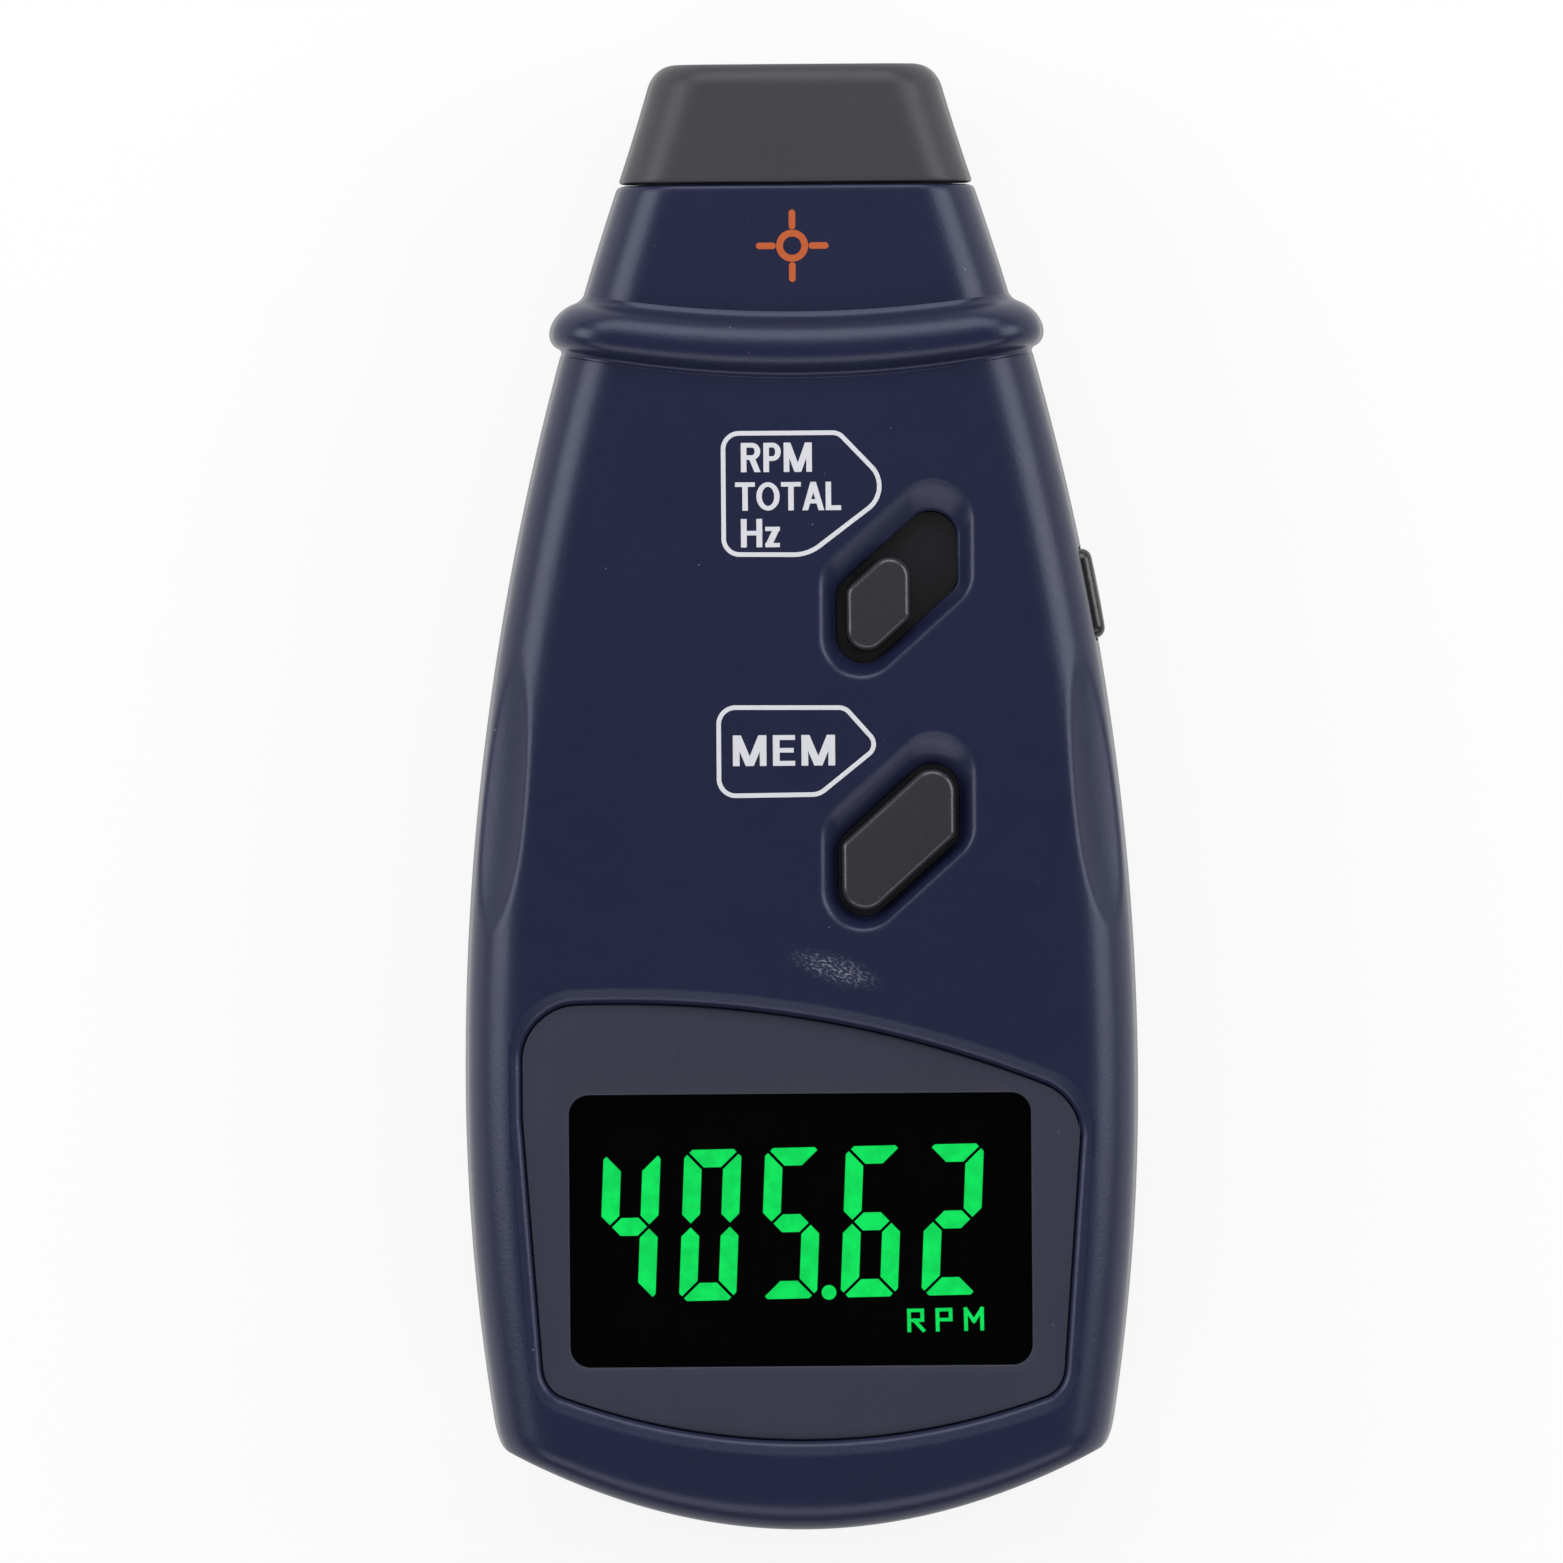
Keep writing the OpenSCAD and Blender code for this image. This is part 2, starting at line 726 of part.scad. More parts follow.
module board_outline() {
    back = lcd_at[1] - glass_h / 2 - 1.4;
    steps = 6;
    edge = [for (i = [0:steps]) let (y = mix(back, board_end, i / steps)) [half_w(y) - wall - board_gap, y]];
    difference() {
        polygon(concat(edge, [for (i = [steps:-1:0]) [-edge[i][0], edge[i][1]]]));
        for (p = case_screw_at)
            translate([p[0] + 4 * sign(p[0]), p[1]])
                square([2 * boss_r + 8.4, 2 * boss_r + 2], center = true);
    }
}

module main_board() {
    color([0.1, 0.36, 0.2])
        difference() {
            translate([0, 0, board_z])
                linear_extrude(board_t)
                    board_outline();
            at_each(board_screw_at)
                translate([0, 0, board_z - cut])
                    cylinder(r = board_screw_r + close, h = board_t + 2 * cut, $fn = 32);
        }
}

module board_screws() {
    color([0.6, 0.6, 0.62])
        at_each(board_screw_at)
            difference() {
                union() {
                    translate([0, 0, board_z - 1.2])
                        cylinder(r = 1.8, h = 1.2, $fn = 32);
                    translate([0, 0, board_z - 0.3])
                        cylinder(r = board_screw_r, h = board_t + 3.5, $fn = 32);
                }
                translate([-1.1, -0.25, board_z - 1.2 - cut])
                    cube([2.2, 0.5, cut + 0.6]);
            }
}

module controller_chip() {
    color([0.08, 0.08, 0.09])
        translate([-11, 14 * stretch, board_top])
            union() {
                translate([-6, -6, 0.15])
                    cube([12, 12, 1.6]);
                for (a = [0:90:270])
                    rotate([0, 0, a])
                        for (i = [-3:3])
                            translate([i * 1.6 - 0.3, 5.8, 0])
                                cube([0.6, 1.4, 0.3]);
            }
}

module clock_crystal() {
    color([0.75, 0.75, 0.76])
        translate([-11, 0, board_top])
            union() {
                translate([-3.6, 0, 0])
                    cylinder(r = 2, h = 3.2, $fn = 32);
                translate([3.6, 0, 0])
                    cylinder(r = 2, h = 3.2, $fn = 32);
                translate([-3.6, -2, 0])
                    cube([7.2, 4, 3.2]);
            }
}

module storage_capacitor() {
    color([0.15, 0.17, 0.3])
        translate([-12, 27 * stretch, board_z - 9])
            union() {
                cylinder(r = 4, h = 9, $fn = 40);
                translate([0, 0, -0.3])
                    cylinder(r = 3.4, h = 1, $fn = 40);
            }
}

// Mode control, drawn at its lower left position
mode_face = face_at(mode_at);
skirt_drop = 1;
skirt_top = mode_face - dish_deep - pocket_skin - skirt_drop;
skirt_t = 0.9;
knob_at = mode_at + knob_rest;

module knob_skirt() {
    translate([mode_at[0], mode_at[1], skirt_top - skirt_t])
        linear_extrude(skirt_t)
            offset(r = 0.5, $fn = 24)
                hull()
                    for (t = [0, mode_travel])
                        translate(-t * slide_dir)
                            slot_outline();
}

module mode_knob() {
    color([0.2, 0.2, 0.22])
        union() {
            knob_skirt();
            hull() {
                translate([knob_at[0], knob_at[1], skirt_top - 0.2])
                    linear_extrude(mode_face - skirt_top - 0.3)
                        knob_outline(0);
                translate([knob_at[0], knob_at[1], mode_face - 0.1])
                    linear_extrude(0.1)
                        knob_outline(0.45);
            }
        }
}

lever_half = 1;
lever_dip = 1.2;
switch_h = skirt_top - skirt_t - board_top - 0.5;

module mode_lever() {
    color([0.85, 0.85, 0.83])
        translate([knob_at[0], knob_at[1], board_top + switch_h - lever_dip])
            rotate([0, 0, slant])
                translate([-lever_half, -lever_half, 0])
                    cube([2 * lever_half, 2 * lever_half, skirt_top - skirt_t - board_top - switch_h + lever_dip]);
}

module mode_switch() {
    color([0.5, 0.51, 0.53])
        translate([knob_at[0], knob_at[1], board_top])
            rotate([0, 0, slant])
                difference() {
                    translate([-3.5, -3.4, 0])
                        cube([mode_travel + 7, 6.8, switch_h]);
                    translate([-lever_half - play, -lever_half - play, switch_h - lever_dip - play])
                        cube([mode_travel + 2 * (lever_half + play), 2 * (lever_half + play), switch_h]);
                }
}

// Memory button, pressed straight down
memory_face = face_at(memory_at);
flange_top = memory_face - dish_deep - pocket_skin - play;
flange_t = 0.9;

module memory_button() {
    color([0.2, 0.2, 0.22])
        union() {
            translate([memory_at[0], memory_at[1], flange_top - flange_t])
                linear_extrude(flange_t)
                    offset(r = 1, $fn = 24)
                        slot_outline();
            hull() {
                translate([memory_at[0], memory_at[1], flange_top - 0.2])
                    linear_extrude(memory_face - flange_top - 0.4)
                        button_outline(0.5);
                translate([memory_at[0], memory_at[1], memory_face])
                    linear_extrude(0.1)
                        button_outline(0.95);
            }
        }
}

plunger_r = 1.5;
memory_body_h = flange_top - flange_t - memory_travel - 0.5 - board_top;
memory_dip = 0.8;

module memory_plunger() {
    bottom = board_top + memory_body_h - memory_dip;
    color([0.85, 0.85, 0.83])
        translate([memory_at[0], memory_at[1], bottom])
            cylinder(r = plunger_r, h = flange_top - flange_t - bottom, $fn = 32);
}

module memory_switch() {
    color([0.12, 0.12, 0.13])
        difference() {
            translate([memory_at[0] - 3.1, memory_at[1] - 3.1, board_top])
                cube([6.2, 6.2, memory_body_h]);
            translate([memory_at[0], memory_at[1], board_top + memory_body_h - memory_dip - memory_travel - play])
                cylinder(r = plunger_r + play, h = memory_body_h, $fn = 32);
        }
}

// Measure button, pressed in square to the side
plate_x = -wall - 1.2;
plate_t = 0.9;
trigger_rim = [2.4, 1.8];
trigger_dip = 0.8;
trigger_face = plate_x - plate_t - measure_travel - 0.6;

module measure_button() {
    color([0.2, 0.2, 0.22])
        at_measure()
            union() {
                side_plate(measure_len + trigger_rim[0], measure_h + trigger_rim[1], 1.6, plate_x - plate_t, plate_x);
                hull() {
                    side_plate(measure_len, measure_h, 1.4, plate_x - 0.2, measure_out - 0.5);
                    side_plate(measure_len - 1, measure_h - 1, 1, measure_out - 0.1, measure_out);
                }
            }
}

module measure_plunger() {
    color([0.85, 0.85, 0.83])
        at_measure()
            translate([trigger_face - trigger_dip, 0, 0])
                rotate([0, 90, 0])
                    cylinder(r = plunger_r, h = plate_x - plate_t - trigger_face + trigger_dip, $fn = 32);
}

module measure_switch() {
    deep = 5;
    color([0.12, 0.12, 0.13])
        at_measure()
            difference() {
                translate([trigger_face - deep, -3.1, -3.1])
                    cube([deep, 6.2, board_z - measure_z + 3.1]);
                translate([trigger_face - trigger_dip - measure_travel - play, 0, 0])
                    rotate([0, 90, 0])
                        cylinder(r = plunger_r + play, h = deep, $fn = 32);
            }
}

module laser_module() {
    color([0.72, 0.55, 0.25])
        difference() {
            along_y(laser_x, bracket_y - 3, optics_front, laser_r);
            along_y(laser_x, optics_front - 3, optics_front + cut, laser_r - 1);
        }
}

// Lens with a flat back and a domed front, seated in its barrel
module lens(x, y, r, edge, dome) {
    ball = (r * r + dome * dome) / (2 * dome);
    translate([x, y, axis_z])
        rotate([-90, 0, 0])
            intersection() {
                cylinder(r = r, h = edge + dome, $fn = 48);
                translate([0, 0, edge + dome - ball])
                    sphere(ball, $fn = 64);
            }
}

module laser_lens() {
    color([0.75, 0.3, 0.28, 0.6])
        lens(laser_x, optics_front - 3, laser_r - 1 - close, 1, 0.7);
}

module receiver_tube() {
    color([0.07, 0.07, 0.08])
        difference() {
            along_y(receiver_x, bracket_y - 3, optics_front, receiver_r);
            along_y(receiver_x, bracket_y - 1, optics_front - 4, receiver_r - 1.8);
            along_y(receiver_x, optics_front - 4 - close, optics_front + cut, receiver_r - 1);
            along_y(receiver_x, bracket_y - 4, bracket_y, 2.5 + close);
        }
}

module receiver_lens() {
    color([0.7, 0.78, 0.85, 0.5])
        lens(receiver_x, optics_front - 4, receiver_r - 1 - close, 1.6, 1.4);
}

module photodiode() {
    color([0.2, 0.08, 0.1])
        union() {
            along_y(receiver_x, bracket_y - 3, bracket_y + 1, 2.5);
            along_y(receiver_x, bracket_y - 4, bracket_y - 3, 3);
        }
}

module optics_bracket() {
    foot = axis_z - receiver_r - 2;
    color([0.12, 0.12, 0.13])
        difference() {
            translate([laser_x - laser_r - 3, bracket_y, foot])
                cube([receiver_x + receiver_r - laser_x + laser_r + 5, bracket_t, 2 * receiver_r + 4]);
            along_y(laser_x, bracket_y - cut, bracket_y + bracket_t + cut, laser_r + close);
            along_y(receiver_x, bracket_y - cut, bracket_y + bracket_t + cut, receiver_r + close);
        }
}

// Door cut from the form of the case, with side tongues and finger grooves
module battery_door() {
    color([0.13, 0.15, 0.26])
        difference() {
            intersection() {
                case_body();
                door_channel(0);
            }
            for (i = [0:4])
                translate([-8, door_top_y - 6 - 2.2 * i, -cut])
                    cube([16, 1, cut + 0.5]);
        }
}

snap_x = battery_x + battery_l / 2;
snap_t = 2.6;
snap_off = 6.4;
snap_rs = [2.9, 3.9];

module along_x(x0, x1, y, r) {
    translate([x0, y, battery_z + battery_h / 2])
        rotate([0, 90, 0])
            cylinder(r = r, h = x1 - x0, $fn = 40);
}

module battery() {
    r = 2.2;
    color([0.25, 0.26, 0.3])
        union() {
            translate([battery_x - battery_l / 2, battery_y, battery_z + battery_h / 2])
                rotate([90, 0, 90])
                    linear_extrude(battery_l)
                        rounded([battery_w, battery_h], r);
            for (i = [0, 1])
                along_x(snap_x - 0.2, snap_x + snap_t, battery_y + (i * 2 - 1) * snap_off, snap_rs[i]);
        }
}

module contact_plate() {
    color([0.15, 0.15, 0.16])
        difference() {
            translate([snap_x + snap_t - 0.6, battery_y - 12.4, battery_z])
                cube([1.8, 24.8, 15]);
            for (i = [0, 1])
                along_x(snap_x, snap_x + snap_t + close, battery_y + (i * 2 - 1) * snap_off, snap_rs[i] + close);
        }
}

module contact_clips() {
    color([0.78, 0.74, 0.6])
        for (i = [0, 1])
            difference() {
                along_x(snap_x + 0.4, snap_x + snap_t - 0.6, battery_y + (i * 2 - 1) * snap_off, snap_rs[i] + 0.6);
                along_x(snap_x, snap_x + snap_t, battery_y + (i * 2 - 1) * snap_off, snap_rs[i] + close);
            }
}

front_shell();
rear_shell();
nose_cap();
case_screws();
display_window();
lcd_pane();
lcd_segments();
lcd_glass();
lcd_frame();
backlight_panel();
contact_strips();
main_board();
board_screws();
controller_chip();
clock_crystal();
storage_capacitor();
mode_knob();
mode_lever();
mode_switch();
memory_button();
memory_plunger();
memory_switch();
measure_button();
measure_plunger();
measure_switch();
laser_module();
laser_lens();
receiver_tube();
receiver_lens();
photodiode();
optics_bracket();
battery_door();
battery();
contact_plate();
contact_clips();
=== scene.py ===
import math

import bpy
import numpy as np
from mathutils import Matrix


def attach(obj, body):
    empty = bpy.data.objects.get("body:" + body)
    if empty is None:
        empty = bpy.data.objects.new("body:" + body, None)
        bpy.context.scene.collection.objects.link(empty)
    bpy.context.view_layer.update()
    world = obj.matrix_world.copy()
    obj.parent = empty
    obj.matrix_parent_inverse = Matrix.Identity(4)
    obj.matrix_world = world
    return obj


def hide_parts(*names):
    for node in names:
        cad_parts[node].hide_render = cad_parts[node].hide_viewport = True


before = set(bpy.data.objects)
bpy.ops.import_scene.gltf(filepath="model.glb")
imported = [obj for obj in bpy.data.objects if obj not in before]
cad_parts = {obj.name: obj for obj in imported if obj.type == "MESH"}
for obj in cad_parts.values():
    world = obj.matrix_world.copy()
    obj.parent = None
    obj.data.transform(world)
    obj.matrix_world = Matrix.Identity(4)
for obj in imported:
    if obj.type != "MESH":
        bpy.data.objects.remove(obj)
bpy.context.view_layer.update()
print("frame loaded with", len(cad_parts), "nodes")

# lengths below are millimetres in the frame of the CAD part, and putMesh turns them into metres
case = {
    "noseY": 80.0, "tailY": -80.0, "seamY": 66.8, "beadY": 52.0, "gripY": -31.0,
    "halfWide": 36.8, "noseHalf": 14.7, "tailHalf": 33.4, "thick": 33.0, "partZ": 15.5,
    "wall": 2.2, "edgeR": 6.0, "crown": 0.8, "sideLean": 0.4, "headStep": 0.7,
    "tailBow": 8.9, "tailR": 3.2, "tailCorner": 0.7,
    "beadBow": 2.5, "beadHalf": 3.3, "beadR": 2.65, "beadFoot": 0.87, "beadShift": -0.4,
    "faceY": -10.0, "faceArc": 1010.0, "riseY": 40.0, "riseArc": 270.0, "swellY": 4.2, "swellReach": 19.4,
    "roomSwell": 10.5,
    "rowStep": 0.6, "gripStep": 0.36, "gripFrom": -22.0, "gripTo": 24.0, "seamLine": 0.16,
}
frontArc = (case["noseY"] - case["gripY"]) ** 2 / (2 * (case["halfWide"] - case["noseHalf"] - case["headStep"]))
tailSideY = case["tailY"] + case["tailBow"]
tailArc = (tailSideY - case["gripY"]) ** 2 / (2 * (case["halfWide"] - case["tailHalf"]))


# half width: greatest at the grip, less by the square of the way from it, one arc each way
def halfWidth(y):
    away = np.square(y - case["gripY"]) / 2
    return case["halfWide"] - np.where(y > case["gripY"], away / frontArc, away / tailArc)


def topHeight(y):  # level at the tail, then falling by a square towards the nose
    return case["thick"] - np.square(np.maximum(0, y - case["faceY"])) / (2 * case["faceArc"])


def backHeight(y):  # level, then rising by a square under the head
    return np.square(np.maximum(0, y - case["riseY"])) / (2 * case["riseArc"])


def bowAt(side):  # how far the middle of a row lies behind its ends
    return np.interp(side, [tailSideY, case["beadY"], case["seamY"] - 1], [case["tailBow"], case["beadBow"], 0])


# height of the face over any place: its row is found by a few turns of the bow formula
def faceHeight(x, y):
    side = y + 0.0 * x
    for turn in range(6):
        side = y + bowAt(side) * (1 - np.square(x / halfWidth(side)))
    return topHeight(y) - case["crown"] * np.square(x / halfWidth(side))


def putMesh(name, points, faces, smooth=40):  # millimetre arrays into one mesh object in metres
    mesh = bpy.data.meshes.new(name)
    mesh.from_pydata((np.asarray(points, float) * 0.001).tolist(), [], faces)
    mesh.validate()
    made = bpy.data.objects.new(name, mesh)
    bpy.context.scene.collection.objects.link(made)
    if smooth:
        mesh.shade_smooth()
        mesh.set_sharp_from_angle(angle=math.radians(smooth))
    return made


def gridFaces(rows, cols, closed=False, start=0):  # quads of a grid, wrapped along its columns if closed
    r, c = np.meshgrid(np.arange(rows - 1), np.arange(cols if closed else cols - 1), indexing="ij")
    n = (c + 1) % cols
    quads = np.stack([r * cols + c, r * cols + n, (r + 1) * cols + n, (r + 1) * cols + c], -1)
    return (quads.reshape(-1, 4) + start).tolist()


def tubeFaces(rows, cols):  # a grid wrapped round, closed by a foot and a lid
    last = (rows - 1) * cols
    return gridFaces(rows, cols, closed=True) + [list(range(cols))[::-1], list(range(last, last + cols))]


def moved(piece, change):  # the piece with its millimetre points put through a function
    points = np.empty(len(piece.data.vertices) * 3)
    piece.data.vertices.foreach_get("co", points)
    points = np.column_stack(change(*points.reshape(-1, 3).T * 1000)) * 0.001
    piece.data.vertices.foreach_set("co", points.ravel())
    piece.data.update()
    return piece


# cuts, joins or keeps what two closed surfaces share, one after another
def combine(base, steps, smooth=40):
    for how, other in steps:
        change = base.modifiers.new(how, "BOOLEAN")
        change.operation = how
        change.solver = "MANIFOLD"
        change.object = other
        bpy.context.view_layer.update()
        shown = base.evaluated_get(bpy.context.evaluated_depsgraph_get())
        mesh = bpy.data.meshes.new_from_object(shown)
        base.modifiers.clear()
        old = base.data
        base.data = mesh
        mesh.name = base.name
        bpy.data.meshes.remove(old)
        bpy.data.objects.remove(other)
    base.data.materials.clear()
    base.data.polygons.foreach_set("material_index", np.zeros(len(base.data.polygons), np.int32))
    base.data.shade_smooth()
    base.data.set_sharp_from_angle(angle=math.radians(smooth))
    return base


# edge of the hull of discs, each point with its outward normal: for every direction the disc that
# reaches furthest gives centre + radius * direction
def hullEdge(discs, turns=240):
    discs = np.asarray(discs, float)
    angle = np.linspace(0, 2 * np.pi, turns, endpoint=False)
    out = np.stack([np.cos(angle), np.sin(angle)], 1)
    best = np.argmax(out @ discs[:, :2].T + discs[:, 2], 1)
    return discs[best, :2] + discs[best, 2:] * out, out


def fillRuns(edge, out, run=1.2, fill=14):  # points set evenly along every straight run
    turns = len(edge)
    extra = np.where(np.linalg.norm(np.roll(edge, -1, 0) - edge, axis=1) > run, fill, 1)
    at = np.repeat(np.arange(turns), extra)
    part = np.concatenate([np.arange(n) / n for n in extra])[:, None]
    ahead = (at + 1) % turns
    return edge[at] * (1 - part) + edge[ahead] * part, out[at] * (1 - part) + out[ahead] * part


def discHull(discs, turns=240):
    return fillRuns(*hullEdge(discs, turns))


def boxDiscs(at, wide, high, r):  # rounded rectangle
    return [(at[0] + sx * (wide / 2 - r), at[1] + sy * (high / 2 - r), r) for sx in (-1, 1) for sy in (-1, 1)]


# slanted outline with upright sides as four discs: tips at the acute corners, blunts at the others
def slantDiscs(at, half, drop, tipR, bluntR, slope=42):
    rise = math.tan(math.radians(slope))
    lean = math.radians(slope)
    tip = 2 * half * rise - drop
    corners = [(-half, -drop, bluntR), (-half, -tip, tipR), (half, drop, bluntR), (half, tip, tipR)]
    discs = []
    for x, y, r in corners:  # the disc touches the upright side and the slanted one
        s = math.copysign(1, x)
        acute = r == tipR and abs(y) > abs(drop) + 1e-6
        down = r / math.cos(lean) + r * rise if acute else r / math.cos(lean) - r * rise
        inward = -math.copysign(1, y) * down if acute else s * down
        discs.append((at[0] + x - s * r, at[1] + y + inward, r))
    return discs


# an outline moved outward and set at a height, counted from the face where share is 1
def level(outline, away, height, share=0.0):
    ring = outline[0] + away * outline[1]
    lift = share * faceHeight(ring[:, 0], ring[:, 1]) if share else np.zeros(len(ring))
    return np.column_stack([ring, lift + height])


def rise(outline, profile, share=0.0):  # rings of an outline at pairs of (moved outward, height)
    return [level(outline, away, height, share) for away, height in profile]


def slab(outline, low, high, away=0.0, share=0.0):  # two rings, from one height to another
    return rise(outline, ((away, low), (away, high)), share)


# rounded shoulder of a key: quarter circle of radius r that ends inward and up
def shoulder(outline, r, height, share=0.0, steps=6):
    turn = np.radians(np.linspace(0, 90, steps + 1))
    return rise(outline, [(-r * (1 - math.cos(a)), height - r * (1 - math.sin(a))) for a in turn], share)


# rings joined into a closed skin, with a flat foot and a lid that may swell towards its middle
def plugMesh(name, rings, dome=0.0, smooth=40):
    lid = rings[-1]
    if dome:  # rows drawn in to the middle, raised by dome * (1 - t * t)
        middle = lid.mean(0)
        rings = rings + [np.column_stack([middle[:2] + t * (lid[:, :2] - middle[:2]),
                                          middle[2] + t * (lid[:, 2] - middle[2]) + dome * (1 - t * t)])
                         for t in np.linspace(1, 0.08, 12)[1:]]
    return putMesh(name, np.concatenate(rings), tubeFaces(len(rings), len(lid)), smooth)


# barrel or bore along a direction: rings of (along, radius) round an axis point, closed by caps
def turnedMesh(name, axisPoint, along, profile, turns=64, smooth=40):
    along = np.asarray(along, float) / np.linalg.norm(along)
    first = np.cross(along, [0, 0, 1.0] if abs(along[2]) < 0.9 else [1.0, 0, 0])
    first /= np.linalg.norm(first)
    second = np.cross(along, first)
    angle = np.linspace(0, 2 * np.pi, turns, endpoint=False)[:, None]
    wheel = np.cos(angle) * first + np.sin(angle) * second
    points = np.concatenate([np.asarray(axisPoint) + s * along + r * wheel for s, r in profile])
    return putMesh(name, points, tubeFaces(len(profile), turns), smooth)


def settle(piece, body, slot, look, *nodes):  # body, finish (not used), material and the nodes it stands for
    piece.data.materials.clear()
    piece.data.materials.append(look)
    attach(piece, body)
    if nodes:
        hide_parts(*nodes)
    return piece


# shader maths: a wire is a socket, operators on it add Math nodes, and add puts in any other node
class Wire:
    def __init__(self, tree, socket=None):
        self.tree = tree
        self.socket = socket

    def add(self, kind, settings=None, values=None, out=0):
        made = self.tree.nodes.new("ShaderNode" + kind)
        for key, value in (settings or {}).items():
            setattr(made, key, value)
        for key, value in (values or {}).items():
            if isinstance(value, Wire):
                self.tree.links.new(value.socket, made.inputs[key])
            else:
                made.inputs[key].default_value = value
        return Wire(self.tree, made.outputs[out])

    def math(self, how, first, second):
        return self.add("Math", {"operation": how}, {0: first, 1: second})

    def __add__(self, other):
        return self.math("ADD", self, other)

    def __sub__(self, other):
        return self.math("SUBTRACT", self, other)

    def __rsub__(self, other):
        return self.math("SUBTRACT", other, self)

    def __mul__(self, other):
        return self.math("MULTIPLY", self, other)

    __radd__ = __add__
    __rmul__ = __mul__

    def step(self, low, high):  # 0 below low, 1 above high, smooth between
        return self.add("MapRange", {"interpolation_type": "SMOOTHSTEP"},
                        {0: self, 1: low, 2: high, 3: 0.0, 4: 1.0})

    def noise(self, scale, detail=2.0, rough=0.5):  # grain per metre
        values = {"Vector": self, "Scale": scale, "Detail": detail, "Roughness": rough}
        return self.add("TexNoise", None, values)

    def blend(self, low, high):  # colour mixed by this wire
        return self.add("Mix", {"data_type": "RGBA"}, {0: self, 6: low, 7: high}, out=2)


def linear(red, green, blue):  # screen colour 0 to 255 as the linear colour a shader takes
    shade = np.array([red, green, blue]) / 255
    grown = np.where(shade > 0.04045, ((shade + 0.055) / 1.055) ** 2.4, shade / 12.92)
    return (*grown.tolist(), 1.0)


def tinted(colour, factor):
    return (*[min(1.0, part * factor) for part in colour[:3]], 1.0)


# material with one Principled shader: values are set on it, wires are linked to it
def newLook(name, **fixed):
    look = bpy.data.materials.new(name)
    look.use_nodes = True
    tree = look.node_tree
    shader = tree.nodes["Principled BSDF"]
    for key, value in fixed.items():
        shader.inputs[key.replace("_", " ")].default_value = value
    coords = tree.nodes.new("ShaderNodeTexCoord")
    return look, shader, Wire(tree, coords.outputs["Object"])


def feed(place, shader, **wires):
    for key, wire in wires.items():
        place.tree.links.new(wire.socket, shader.inputs[key.replace("_", " ")])


# moulded plastic: fine spark-eroded grain, slow cloudy change of tone, shinier rubbed patches and pale dust
plastic = {"cloud": 55.0, "grain": 2600.0, "rub": 240.0, "skin": 900.0, "bump": 0.0002, "dust": 420.0,
           "dustSize": 0.05, "dustColour": (176, 178, 186), "wornColour": (120, 122, 140), "shade": 0.42}


def mouldedLook(name, colour, rough=0.36, grain=0.12, tone=0.05, dust=0.2, specular=0.28, sheen=(1, 1, 1),
                scuff=None, deep=None):
    look, shader, place = newLook(name, Specular_IOR_Level=specular, Specular_Tint=(*sheen, 1))
    cloud = place.noise(plastic["cloud"], 4.0, 0.6)
    rub = place.noise(plastic["rub"], 3.0, 0.55)
    fine = place.noise(plastic["grain"], 2.0, 0.6)
    mixed = (cloud * 0.6 + fine * 0.4).step(0.3, 0.7)
    paint = mixed.blend(tinted(colour, 1 - tone), tinted(colour, 1 + tone))
    cell = place.add("TexVoronoi", None, {"Vector": place, "Scale": plastic["dust"], "Randomness": 1.0})
    speck = (1 - cell.step(plastic["dustSize"] * 0.5, plastic["dustSize"])) * rub.step(0.52, 0.62) * dust
    paint = speck.blend(paint, linear(*plastic["dustColour"]))
    roughness = rough - 0.03 * rub.step(0.4, 0.8) + 0.08 * (fine - 0.5) + 0.2 * speck
    if scuff:  # pale fine specks gathered in a leaning oval patch
        spot = place.add("VectorMath", {"operation": "SUBTRACT"}, {0: place, 1: scuff["at"]})
        turned = spot.add("VectorRotate", {"rotation_type": "Z_AXIS"}, {"Vector": spot, "Angle": scuff["lean"]})
        oval = spot.add("VectorMath", {"operation": "DIVIDE"}, {0: turned, 1: scuff["half"]})
        near = spot.add("VectorMath", {"operation": "LENGTH"}, {0: oval}, out=1)
        hair = spot.add("VectorMath", {"operation": "MULTIPLY"}, {0: turned, 1: (scuff["stretch"], 1.0, 1.0)})
        specks = hair.noise(scuff["specks"], 3.0, 0.6).step(0.52, 0.6)
        worn = (1 - near.step(0.1, 1.0)) * (0.08 + specks) * scuff["amount"]
        paint = worn.blend(paint, linear(*plastic["wornColour"]))
    if deep:  # darker below a height, where little light comes in
        high = place.add("SeparateXYZ", None, {0: place}, out=2)
        paint = high.step(*deep).blend(tinted(colour, plastic["shade"]), paint)
    skin = fine * 0.7 + place.noise(plastic["skin"], 2.0, 0.5) * 0.3
    bump = place.add("Bump", None, {"Strength": grain, "Distance": plastic["bump"], "Height": skin})
    feed(place, shader, Base_Color=paint, Roughness=roughness, Normal=bump)
    return look


# plated metal: fine streaks along one axis and cloudy tarnish
metal = {"streaks": 1500.0, "cloud": 160.0, "rough": 0.32}


